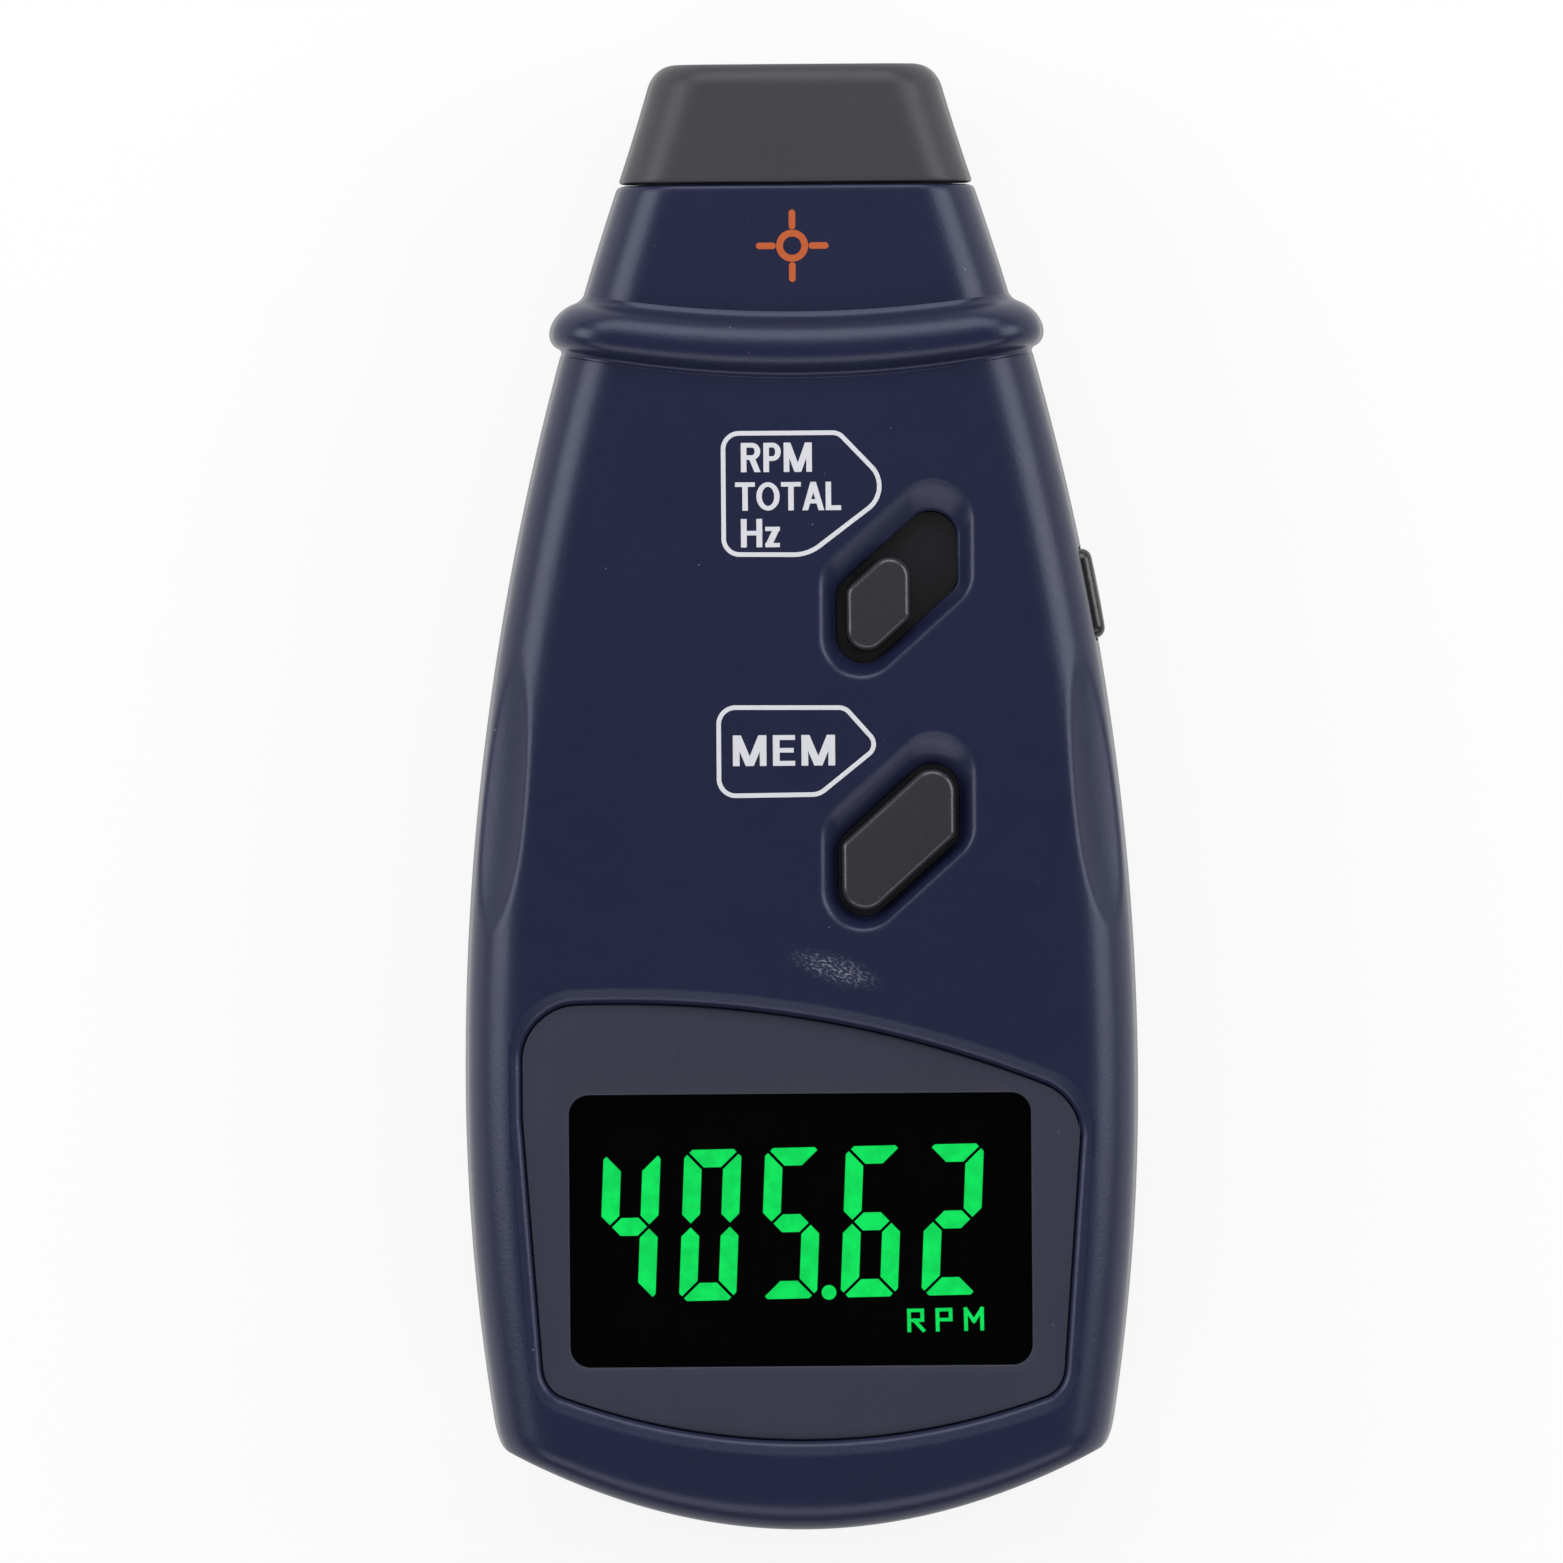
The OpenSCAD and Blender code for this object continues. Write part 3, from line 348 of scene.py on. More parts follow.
def metalLook(name, colour, streak=(1.0, 1.0, 1.0)):
    look, shader, place = newLook(name, Metallic=1.0)
    drawn = place.add("VectorMath", {"operation": "MULTIPLY"}, {0: place, 1: streak})
    lines = drawn.noise(metal["streaks"], 3.0, 0.6)
    cloud = place.noise(metal["cloud"], 3.0, 0.6)
    roughness = metal["rough"] + 0.22 * (cloud - 0.5) + 0.1 * (lines - 0.5)
    paint = (0.5 * lines + 0.5 * cloud).step(0.3, 0.7).blend(tinted(colour, 0.8), tinted(colour, 1.12))
    bump = place.add("Bump", None, {"Strength": 0.08, "Distance": 0.0001, "Height": lines})
    feed(place, shader, Base_Color=paint, Roughness=roughness, Normal=bump)
    return look


# clear piece: mostly see-through, a thin glossy skin with faint smears
def clearLook(name, colour, seen=0.35, rough=0.06, specular=0.5):
    look, shader, place = newLook(name, Specular_IOR_Level=specular)
    smear = place.noise(120.0, 4.0, 0.65)
    paint = smear.step(0.35, 0.7).blend(tinted(colour, 0.9), tinted(colour, 1.1))
    feed(place, shader, Base_Color=paint, Roughness=rough + 0.06 * smear.step(0.5, 0.75),
         Alpha=seen + 0.06 * (smear - 0.5))
    return look


# lit number bars: the colour glows, a little weaker in a fine grid as in a real cell
def glowLook(name, colour):
    look, shader, place = newLook(name, Roughness=0.5, Emission_Strength=1.0, Specular_IOR_Level=0.1)
    cell = place.noise(700.0, 2.0, 0.5)
    glow = cell.step(0.3, 0.7).blend(tinted(colour, 0.86), tinted(colour, 1.08))
    feed(place, shader, Base_Color=cell.blend(tinted(colour, 0.25), tinted(colour, 0.35)), Emission_Color=glow)
    return look


scuffed = {"at": (0.0036, -0.0188, 0.033), "lean": 0.32, "half": (0.006, 0.0019, 0.02), "stretch": 0.5,
           "specks": 3800.0, "amount": 0.9}
shellLook = mouldedLook("shellBlue", linear(26, 30, 56), rough=0.35, dust=0.4, specular=0.5,
                        sheen=(0.77, 0.79, 1), scuff=scuffed)
capLook = mouldedLook("capGrey", linear(60, 60, 64), rough=0.42, specular=0.3)
keyLook = mouldedLook("keyGrey", linear(45, 45, 50), rough=0.28, dust=0.15, specular=0.6, deep=(0.0295, 0.032))
windowLook = mouldedLook("windowSlate", linear(51, 53, 67), rough=0.36, grain=0.06, dust=0.3, specular=0.35)
print("plastics mixed")


# rows along the case as (place at the side, taken off all round, added by the bead, taken off the width)
def caseRows(inset=0.0, plain=False):
    turn = np.radians(np.linspace(0, 90, 5 if plain else 12))
    rolled = 1 - np.sin(turn)
    y = tailSideY + inset + case["tailR"] * (1 - np.cos(turn))
    tail = np.column_stack([y, -case["tailR"] * rolled, 0 * turn, -case["tailCorner"] * rolled])
    if plain:  # the room inside, through the open head
        y = np.linspace(tail[-1, 0] + 3, case["seamY"] + 1, 60)
        return np.concatenate([tail, np.column_stack([y, 0 * y, np.linspace(0, -case["headStep"], 60), 0 * y])])
    beadAt, half, r, foot = case["beadY"] + case["beadShift"], case["beadHalf"], case["beadR"], case["beadFoot"]
    low, high = beadAt - half, beadAt + half
    y = np.concatenate([np.arange(tail[-1, 0] + 0.5, case["gripFrom"], case["rowStep"]),
                        np.arange(case["gripFrom"], case["gripTo"], case["gripStep"]),
                        np.arange(case["gripTo"], low - 0.2, case["rowStep"])])
    body = np.column_stack([y, 0 * y, 0 * y, 0 * y])
    x = half * np.sin(np.linspace(-np.pi / 2, np.pi / 2, 49))  # round top of radius r between two hollow feet
    flank = half / (r + foot)
    bulge = np.where(np.abs(x) < r * flank,
                     (r + foot) * (1 - math.sqrt(1 - flank ** 2)) - r + np.sqrt(np.maximum(0, r * r - x * x)),
                     foot - np.sqrt(np.maximum(0, foot ** 2 - np.square(half - np.abs(x)))))
    bead = np.column_stack([beadAt + x, 0 * x, bulge - case["headStep"] * np.linspace(0, 1, len(x)), 0 * x])
    y = np.append(np.arange(high + 0.3, case["seamY"] - 0.5, case["rowStep"]), case["seamY"] - 0.4)
    head = np.column_stack([y, 0 * y, 0 * y - case["headStep"], 0 * y])
    off = np.array([-0.1, -0.35])
    lip = np.column_stack([[case["seamY"] - 0.12, case["seamY"]], off, 0 * off - case["headStep"], off])
    return np.concatenate([tail, body, bead, head, lip])


# half section as (share of the lean, share of the edge radius in x and z, share of the flat)
def sectionSteps(side, edge, flat):
    t = np.concatenate([[0, 0.02], np.linspace(0, 1, side)[1:]])
    a = np.radians(np.linspace(0, 90, edge + 1)[1:])
    f = 1 - np.linspace(0, 1, flat + 1)[1:] ** 1.35
    lean = np.concatenate([t, 1 + 0 * a, 1 + 0 * f])
    inX = np.concatenate([0 * t, 1 - np.cos(a), 1 + 0 * f])
    inZ = np.concatenate([1 + 0 * t, 1 - np.sin(a), 0 * f])
    across = np.concatenate([1 + 0 * t, 1 + 0 * a, f])
    return lean, inX, inZ, across


# surface of the case, face side (up = 1) or back side (up = -1): x runs in from the seam round the edge
# radius to the middle, y = row - bow * (1 - (x / w)^2), z = crowned roof or floor less the edge radius
def caseSurface(rows, up, inset=0.0, swell=0.0, steps=(20, 22, 60), bowed=1.0, seam=0.0):
    lean, inX, inZ, across = sectionSteps(*steps)
    side, off, bead = rows[:, 0:1], rows[:, 1:2], rows[:, 2:3]
    w = halfWidth(side) + rows[:, 3:4] + bead - inset
    r = np.maximum(1.2, case["edgeR"] - inset + off)
    bell = np.square(np.cos(np.pi / 2 * np.clip((side - case["swellY"]) / case["swellReach"], -1, 1)))
    if up > 0:
        r = np.minimum(r + swell * bell, case["thick"] - inset - case["partZ"] - 1)
    x = (w - case["sideLean"] * lean - r * inX) * across
    x = x - (lean == 0) * seam
    y = side - bowed * bowAt(side) * (1 - np.square(x / w))
    if up > 0:
        limit = topHeight(y) + off + bead - inset - case["crown"] * np.square(x / w)
        z = limit - r * inZ
    else:
        limit = backHeight(y) + inset - off
        z = limit + r * inZ
    z = np.where(lean < 1, case["partZ"] + (z - case["partZ"]) * lean, z)
    full = np.concatenate([np.stack([x, y, z], -1), np.stack([-x, y, z], -1)[:, -2::-1]], 1)
    return full


# closed half of the case: the surface, a floor at the seam and two end walls
def caseHalf(name, rows, up, inset=0.0, swell=0.0, past=0.0, change=None, steps=(20, 22, 60)):
    seam = 0.0 if inset else case["seamLine"]
    top = caseSurface(rows, up, inset, swell, steps, seam=seam)
    if change:
        top = change(top)
    top[:, [0, -1], 2] -= up * past
    m, n = top.shape[:2]
    ends = []
    for row, inward in ((0, seam), (m - 1, 0.0)):  # the seam line runs on across the tail
        near, low = top[row, 1:-1].copy(), top[row, 1:-1].copy()
        near[:, 2] = top[row, 1, 2]
        low[:, 1] += inward
        low[:, 2] = top[row, 0, 2]
        ends += [near[1:-1], low]
    points = np.concatenate([top.reshape(-1, 3)] + ends)
    faces = gridFaces(m, n)
    floor = [[r * n, (r + 1) * n, (r + 1) * n + n - 1, r * n + n - 1] for r in range(m - 1)]
    start = m * n
    chains = []
    for row in (0, m - 1):
        edge = list(range(row * n, row * n + n))
        near = edge[:2] + list(range(start, start + n - 4)) + edge[-2:]
        low = edge[:1] + list(range(start + n - 4, start + 2 * n - 6)) + edge[-1:]
        chains.append((edge, near, low))
        start += 2 * n - 6
    first, last = chains[0][2], chains[1][2]
    floor[0] = first[::-1] + [n, 2 * n - 1]
    floor[-1] = [(m - 2) * n] + last + [(m - 1) * n - 1]
    walls = []
    for (edge, near, low), turned in zip(chains, (False, True)):
        for above, below in ((edge, near), (near, low)):
            for i in range(n - 1):
                quad = [above[i], above[i + 1], below[i + 1], below[i]]
                quad = [p for k, p in enumerate(quad) if p not in quad[:k]]
                if len(quad) > 2:
                    walls.append(quad if turned else quad[::-1])
    faces = faces + floor + walls
    if up < 0:
        faces = [f[::-1] for f in faces]
    return putMesh(name, points, [f[::-1] for f in faces])


def caseRoom(up, swell=0.0):  # the space inside one shell, past the seam by a little
    return caseHalf("room", caseRows(case["wall"], True), up, case["wall"], swell, 1.0, steps=(8, 8, 20))


# finger scallop: inside a barrel whose axis runs along the side, the surface is pushed straight out from
# the axis on to the barrel, with a soft crease where the two meet
scallop = {"reach": 5.6, "noseLong": 30.0, "tailLong": 16.0, "r": 17.0, "low": 27.6, "high": 32.9,
           "middle": -2.5, "leanAt": 3.0, "crease": 0.2}


def scoop(surface):
    chord = math.hypot(scallop["reach"], scallop["high"] - scallop["low"])
    back = math.sqrt(scallop["r"] ** 2 - chord ** 2 / 4)
    outX = -scallop["reach"] / 2 + back * (scallop["high"] - scallop["low"]) / chord
    upZ = (scallop["high"] + scallop["low"]) / 2 + back * scallop["reach"] / chord
    endR = math.hypot(outX + case["edgeR"], upZ - case["thick"] + case["edgeR"]) - case["edgeR"]
    drop = scallop["r"] - endR
    lean = math.atan((scallop["leanAt"] - case["gripY"]) / frontArc)
    for side in (-1, 1):
        axis = np.array([side * (float(halfWidth(scallop["middle"])) + outX), scallop["middle"], upZ])
        along = np.array([-side * math.sin(lean), math.cos(lean), 0])
        away = surface - axis
        s = away @ along
        long = np.where(s > 0, scallop["noseLong"], scallop["tailLong"])
        arcR = (long ** 2 + drop ** 2) / (2 * drop)
        spoke = away - s[..., None] * along
        far = np.linalg.norm(spoke, axis=-1)
        barrel = scallop["r"] - arcR + np.sqrt(np.maximum(arcR ** 2 - s ** 2, 0))
        deep = np.where(np.abs(s) < arcR, barrel - far, -1)
        k = scallop["crease"]
        push = np.where(deep > k, deep, np.where(deep < -k, 0, np.square(deep + k) / (4 * k)))
        surface = surface + (push / far)[..., None] * spoke
    return surface


# pockets: place, half width and corner radii of the openings, and the wider soft dish round each
pocket = {"mode": (10.75, 22.8), "memory": (10.75, -4.8), "half": 6.6, "tipR": 2.9, "bluntR": 2.0,
          "dishHalf": 8.6, "dishShift": (0.0, 0.9), "dishDrop": -1.3, "dishTipR": 4.65, "dishBluntR": 4.5,
          "deep": 1.3, "slope": 1.95, "curve": 1.25, "lip": 0.6, "skin": 1.4, "padOut": 2.6, "plainR": 3.0}


def plainSlant(at):  # the slot's outline with equal corners, for pieces under the face
    return slantDiscs(at, pocket["half"], 0, pocket["plainR"], pocket["plainR"])


# upright wall, a rounded lip of the opening, a slope that steepens towards it and a rolled outer edge
def pocketCutter(at):
    slot = discHull(slantDiscs(at, pocket["half"], 0, pocket["tipR"], pocket["bluntR"]))
    dishAt = (at[0] + pocket["dishShift"][0], at[1] + pocket["dishShift"][1])
    dish = discHull(slantDiscs(dishAt, *[pocket["dish" + part] for part in ("Half", "Drop", "TipR", "BluntR")]))
    lip, deep = pocket["lip"], pocket["slope"]
    turn = np.radians(np.linspace(0, 55, 6))
    rings = [level(slot, 0, 23)]
    rings += rise(slot, [(lip * (1 - math.cos(a)), -deep - lip * (0.62 - math.sin(a))) for a in turn], 1)
    low = level(slot, lip * 0.55, -deep + lip * 0.3, 1)
    high = level(dish, -0.3, -0.14, 1)
    for t in np.linspace(0, 1, 9):
        ring = low + (high - low) * t
        ring[:, 2] = high[:, 2] + (low[:, 2] - high[:, 2]) * (1 - t) ** pocket["curve"]
        rings.append(ring)
    rings += rise(dish, ((-0.12, -0.06), (0.06, -0.015), (0.24, 0.01), (0.4, 3)), 1)
    return plugMesh("pocketCutter", rings)


def pocketPad(at):
    foot = -pocket["deep"] - pocket["skin"]
    return plugMesh("pocketPad", slab(discHull(plainSlant(at)), foot, -0.8, pocket["padOut"], 1))


# display window: two wide arcs and two leaning sides, drawn in by the corner radius and swelled out again
display = {"topR": 125.0, "topAt": (-20.3, -147.55), "lowR": 76.0, "lowAt": (0.4, 5.8), "middle": (0.0, -47.0),
           "wide": 30.5, "narrow": 28.2, "wideY": -35.0, "narrowY": -66.0, "topCornerR": 6.0, "lowCornerR": 3.4,
           "top": 31.6, "thick": 1.2, "ledge": 1.0, "ledgeOut": 1.2, "lcdAt": (-0.25, -47.3), "lcdWide": 50.4,
           "lcdHigh": 29.7, "lcdR": 2.2, "lcdGrow": 0.8, "lcdGrowR": 2.4, "play": 0.13, "roll": 0.9,
           "rollFoot": -1.2, "rim": 1.75}


def windowEdge(r):
    angle = np.linspace(0, 2 * np.pi, 1440, endpoint=False)
    out = np.stack([np.cos(angle), np.sin(angle)], 1)
    middle = np.array(display["middle"])
    reach = []
    for centre, big in ((display["topAt"], display["topR"] - r), (display["lowAt"], display["lowR"] - r)):
        away = middle - np.array(centre)
        b = out @ away
        reach.append(-b + np.sqrt(b * b - away @ away + big * big))
    fall = display["wideY"] - display["narrowY"]
    tilt = (display["wide"] - display["narrow"]) / fall
    for side in (-1, 1):  # the leaning side x = wide - tilt * (wideY - y), upright above wideY
        foot = display["wide"] - tilt * (display["wideY"] - middle[1]) - r * math.hypot(1, tilt)
        leaning = (foot - side * middle[0]) / (side * out[:, 0] - tilt * out[:, 1])
        upright = (display["wide"] - r - side * middle[0]) / np.maximum(side * out[:, 0], 1e-6)
        reach += [np.where(leaning > 0, leaning, 1e3), upright]
    core = middle + np.min(reach, 0)[:, None] * out
    return hullEdge(np.column_stack([core, np.full(len(core), r)]), turns=720)


def windowOutline():  # the upper corners are rounder than the lower ones
    high, out = windowEdge(display["topCornerR"])
    low = windowEdge(display["lowCornerR"])[0]
    return fillRuns(np.where(out[:, 1:] >= 0, high, low), out, run=1.6, fill=20)


def lcdOutline(grow=0.0, r=None):
    wide, high = display["lcdWide"] + grow, display["lcdHigh"] + grow
    return discHull(boxDiscs(display["lcdAt"], wide, high, r or display["lcdR"]))


# measure button frame: out of the right side, along it and up
measure = {"y": 22.0, "z": 20.5, "long": 9.9, "high": 7.0, "out": 0.95, "play": 0.3, "travel": 0.8, "r": 1.4,
           "plate": -3.4, "plateThick": 0.9, "plateGrow": (2.4, 1.8), "plateR": 1.6, "roll": 1.1}
measureTurn = math.atan((measure["y"] - case["gripY"]) / frontArc)


def triggerPlate(grow=0.0):  # outline of the plate behind the trigger
    wide = measure["long"] + measure["plateGrow"][0] + grow
    high = measure["high"] + measure["plateGrow"][1] + grow
    return discHull(boxDiscs((0, 0), wide, high, measure["plateR"]))


def sidePlug(name, rings, dome=0.0):  # a plug drawn along, up, out and then carried to the side of the case
    c, s = math.cos(measureTurn), math.sin(measureTurn)

    def place(along, up, out):
        x = float(halfWidth(measure["y"])) + out * c - along * s
        return x, measure["y"] + out * s + along * c, measure["z"] + up

    return moved(plugMesh(name, rings, dome), place)


# screw bosses of both shells and the posts that carry the board, set off the face by a skin
fixing = {"screws": ((46.0, 7.1), (-20.0, 8.0)), "bossR": 3.4, "boreR": 1.35, "boreDeep": 9.0, "headR": 3.0,
          "headDeep": 8.0, "posts": ((-17.0, 36.5), (8.0, 37.5), (-22.5, -10.0), (22.5, -10.0)), "postR": 2.4,
          "postFoot": 24.6, "postBoreR": 0.95, "postBoreDeep": 4.0, "skin": 1.1}
screwAt = [(s * (float(halfWidth(y)) - inset), y) for s in (-1, 1) for y, inset in fixing["screws"]]
up = (0, 0, 1)


def post(x, y, foot, r, boreR, boreDeep):  # a boss from its foot up into the face, and the bore in it
    high = float(faceHeight(x, y)) - fixing["skin"] - foot
    return [("UNION", turnedMesh("boss", (x, y, foot), up, [(0, r), (high, r)], 32)),
            ("DIFFERENCE", turnedMesh("bore", (x, y, foot), up, [(-1, boreR), (boreDeep, boreR)], 24))]


# display dish: an upright wall, a rolled inner edge, a soft slope and a rolled rim
def dishCutter(window, ledge):
    play, roll, rim = display["play"], display["roll"], display["rim"]
    rings = [level(window, play, ledge)]
    turn = np.radians(np.linspace(0, 70, 7))
    foot = display["rollFoot"]
    rings += rise(window, [(play + roll * (1 - math.cos(a)), foot + roll * math.sin(a)) for a in turn], 1)
    rings += [rings[-1] + (level(window, rim, -0.03, 1) - rings[-1]) * t for t in np.linspace(0.15, 1, 6)]
    rings += rise(window, ((rim + 0.15, -0.005), (rim + 0.3, 0.01), (rim + 0.45, 3)), 1)
    return plugMesh("dishCutter", rings)


def frontShell():
    shell = caseHalf("frontShell", caseRows(), 1, change=scoop)
    steps = [("DIFFERENCE", caseRoom(1, case["roomSwell"]))]
    window = windowOutline()
    ledge = display["top"] - display["thick"]
    steps += [("UNION", pocketPad(pocket[key])) for key in ("mode", "memory")]
    shelf = slab(window, ledge - display["ledge"], ledge + 0.6, display["ledgeOut"])
    steps += [("UNION", plugMesh("ledge", shelf))]
    for x, y in screwAt:
        steps += post(x, y, case["partZ"], fixing["bossR"], fixing["boreR"], fixing["boreDeep"])
    for x, y in fixing["posts"]:
        steps += post(x, y, fixing["postFoot"], fixing["postR"], fixing["postBoreR"], fixing["postBoreDeep"])
    steps += [("DIFFERENCE", pocketCutter(pocket[key])) for key in ("mode", "memory")]
    steps.append(("DIFFERENCE", dishCutter(window, ledge)))
    lcd = lcdOutline(display["lcdGrow"], display["lcdGrowR"])
    steps.append(("DIFFERENCE", plugMesh("lcdCutter", slab(lcd, 26, 34))))
    grow = 2 * measure["play"]
    hole = discHull(boxDiscs((0, 0), measure["long"] + grow, measure["high"] + grow, measure["plateR"]))
    steps.append(("DIFFERENCE", sidePlug("triggerHole", slab(hole, -5, 3))))
    back = measure["plate"] - measure["plateThick"] - measure["travel"] - measure["play"]
    room = slab(triggerPlate(grow), back, measure["plate"] + measure["play"])
    steps.append(("DIFFERENCE", sidePlug("plateRoom", room)))
    return settle(combine(shell, steps, 48), "case", "shell_blue", shellLook, "front_shell")


frontPiece = frontShell()
print("front shell", len(frontPiece.data.polygons), "faces")

# back moulding and its sliding door: the door takes the case's own form, less a running gap
door = {"half": 25.6, "thick": 2.4, "topY": -43.15, "tongue": 1.0, "tongueThick": 1.2, "play": 0.3,
        "grooves": 5, "grooveLong": 16.0, "groovePitch": 2.2, "grooveDeep": 0.5, "groovesFrom": -48.65}
bay = {"railHalf": 1.6, "railTop": 4.5, "foot": 1.1, "wallHalf": 27.6, "wallThick": 1.6, "wallTop": 13.5,
       "opticsFoot": ((-9, 55, 2.2), (9, 60, 7.2))}


def boxMesh(name, low, high, r=0.0):  # rounded block standing on its outline
    wide, deep = high[0] - low[0], high[1] - low[1]
    middle = ((low[0] + high[0]) / 2, (low[1] + high[1]) / 2)
    edge = discHull(boxDiscs(middle, wide, deep, max(r, 0.01)), turns=64)
    return plugMesh(name, slab(edge, low[2], high[2]))


def doorChannel(name, gap):  # opening and the two side grooves, open to the tail
    wide, top = door["half"] + gap, door["topY"] + gap
    opening = boxMesh(name, (-wide, -81, -1), (wide, top, door["thick"] + gap), 0.4)
    tongue = door["half"] + door["tongue"] + gap
    low, high = door["thick"] - door["tongueThick"] - gap, door["thick"] + gap
    grooves = boxMesh("grooves", (-tongue, -81, low), (tongue, top, high), 0.4)
    return combine(opening, [("UNION", grooves)])


def rearShell():
    shell = caseHalf("rearShell", caseRows(), -1)
    steps = [("DIFFERENCE", caseRoom(-1))]
    bossR, headR, headDeep, boreR = (fixing[key] for key in ("bossR", "headR", "headDeep", "boreR"))
    for x, y in screwAt:
        steps.append(("UNION", turnedMesh("boss", (x, y, 1.5), up, [(0, bossR), (14, bossR)], 48)))
    rail, foot = bay["railHalf"], bay["foot"]
    for s in (-1, 1):
        x = s * (door["half"] + rail)
        high = (x + rail, door["topY"] + 1.5, bay["railTop"])
        steps.append(("UNION", boxMesh("rail", (x - rail, tailSideY, foot), high)))
    half, wallY = bay["wallHalf"], door["topY"] - 0.2
    high = (half, wallY + bay["wallThick"], bay["wallTop"])
    steps.append(("UNION", boxMesh("bayWall", (-half, wallY, foot), high)))
    steps.append(("UNION", boxMesh("opticsFoot", *bay["opticsFoot"])))
    steps.append(("DIFFERENCE", doorChannel("doorChannel", door["play"])))
    for x, y in screwAt:
        seat = float(backHeight(y))
        steps.append(("DIFFERENCE", turnedMesh("headBore", (x, y, 0), up, [
            (-1, headR + 0.5), (seat, headR + 0.4), (seat + 0.35, headR), (headDeep, headR), (headDeep, boreR),
            (17, boreR)], 48)))
    return settle(combine(shell, steps, 32), "case", "shell_blue", shellLook, "rear_shell")


def batteryDoor():
    panel = caseHalf("batteryDoor", caseRows(), -1)
    steps = [("INTERSECT", doorChannel("doorForm", 0.0))]
    deep = door["grooveDeep"]
    for i in range(door["grooves"]):
        y = door["groovesFrom"] - door["groovePitch"] * i
        edge = discHull(boxDiscs((0, y), door["grooveLong"], 1.0, 0.49), turns=64)
        profile = ((0.35, -1), (0.35, 0), (0.1, 0.12), (-0.1, deep - 0.1), (-0.25, deep))
        steps.append(("DIFFERENCE", plugMesh("groove", rise(edge, profile))))
    return settle(combine(panel, steps, 32), "bay_door", "shell_blue", shellLook, "battery_door")


rearPiece = rearShell()
doorPiece = batteryDoor()
print("rear shell and door", len(rearPiece.data.polygons), len(doorPiece.data.polygons), "faces")

# nose cap: the case's section without its bow, drawn in over the front radius, with the two light holes
cap = {"gap": 0.3, "frontR": 2.4, "draw": 0.75, "flare": 0.75, "axisZ": 16.2, "opticsY": 77.4,
       "laserX": -7.6, "laserR": 4.55, "laserHole": 3.0,
       "receiverX": 6.2, "receiverR": 7.05, "receiverHole": 6.0}


def capSkin(name, rows, inset=0.0):
    top = caseSurface(rows, 1, inset, 0.0, (8, 14, 30), bowed=0.0)
    low = caseSurface(rows, -1, inset, 0.0, (8, 14, 30), bowed=0.0)
    ring = np.concatenate([top, low[:, -2:0:-1]], 1)
    if not inset:  # sides straighter than the case's
        y = ring[..., 1]
        share = (y - case["seamY"]) / (case["noseY"] - case["seamY"])
        ring[..., 0] *= 1 + cap["flare"] * np.square(share) / halfWidth(y)
    return plugMesh(name, [r[::-1] for r in ring][::-1], smooth=32)


def noseCap():
    step = case["headStep"]
    turn = np.radians(np.linspace(0, 90, 13))
    r = cap["frontR"]
    back = case["seamY"] + cap["gap"]
    straight = np.linspace(back + 0.6, case["noseY"] - r - 0.3, 24)
    side = np.concatenate([[back, back + 0.12, back + 0.35], straight, case["noseY"] - r + r * np.sin(turn)])
    off = np.concatenate([[-0.3, -0.1, 0], np.zeros(24), -cap["draw"] * r * (1 - np.cos(turn))]) - step
    block = capSkin("noseCap", np.column_stack([side, off, 0 * side, off]))
    y = np.array([case["seamY"] - 3.5, back + 0.5])
    spigot = capSkin("spigot", np.column_stack([y, 0 * y - 0.1, 0 * y - step, 0 * y - 0.1]), case["wall"])
    steps = [("UNION", spigot)]
    start = case["seamY"] - 5
    deep = cap["opticsY"] - start
    front = case["noseY"] - start
    for key in ("laser", "receiver"):
        x, r, hole = (cap[key + part] for part in ("X", "R", "Hole"))
        profile = [(0, r), (deep, r), (deep, hole), (front - 0.5, hole), (front, hole + 0.45),
                   (front + 1, hole + 0.5)]
        steps.append(("DIFFERENCE", turnedMesh("lightHole", (x, start, cap["axisZ"]), (0, 1, 0), profile, 96)))
    return settle(combine(block, steps, 32), "case", "cap_grey", capLook, "nose_cap")


capPiece = noseCap()
print("nose cap", len(capPiece.data.polygons), "faces")


# window plate with a rolled edge and a chamfered opening
def displayWindow():
    window, lcd = windowOutline(), lcdOutline()
    foot = display["top"] - display["thick"]
    top = display["top"]
    rings = rise(window, ((-0.1, foot), (0, foot + 0.1))) + shoulder(window, 0.2, top)
    chamfer = ((0, foot - 1), (0, top - 0.2), (0.06, top - 0.06), (0.2, top), (0.3, top + 1))
    opening = plugMesh("opening", rise(lcd, chamfer))
    plate = combine(plugMesh("displayWindow", rings), [("DIFFERENCE", opening)], 28)
    settle(plate, "case", "window_slate", windowLook, "display_window")


displayWindow()

# keys: the slide knob on its skirt, the memory button on its flange and the trigger on its plate
keys = {"knobHalf": 3.45, "knobDrop": -1.6, "knobTipR": 2.2, "knobBluntR": 1.3, "knobRest": (-2.05, -1.85),
        "travel": 6.0, "slant": 42.0, "skirtDrop": 1.0, "skirtOut": 0.5, "plate": 0.9, "roll": 0.7,
        "buttonHalf": 6.2, "buttonDrop": 0.4, "buttonTipR": 2.5, "buttonBluntR": 0.9, "flangePlay": 0.3}


def keyEdge(key, at):  # outline of the knob or the button
    return discHull(slantDiscs(at, *[keys[key + part] for part in ("Half", "Drop", "TipR", "BluntR")]))


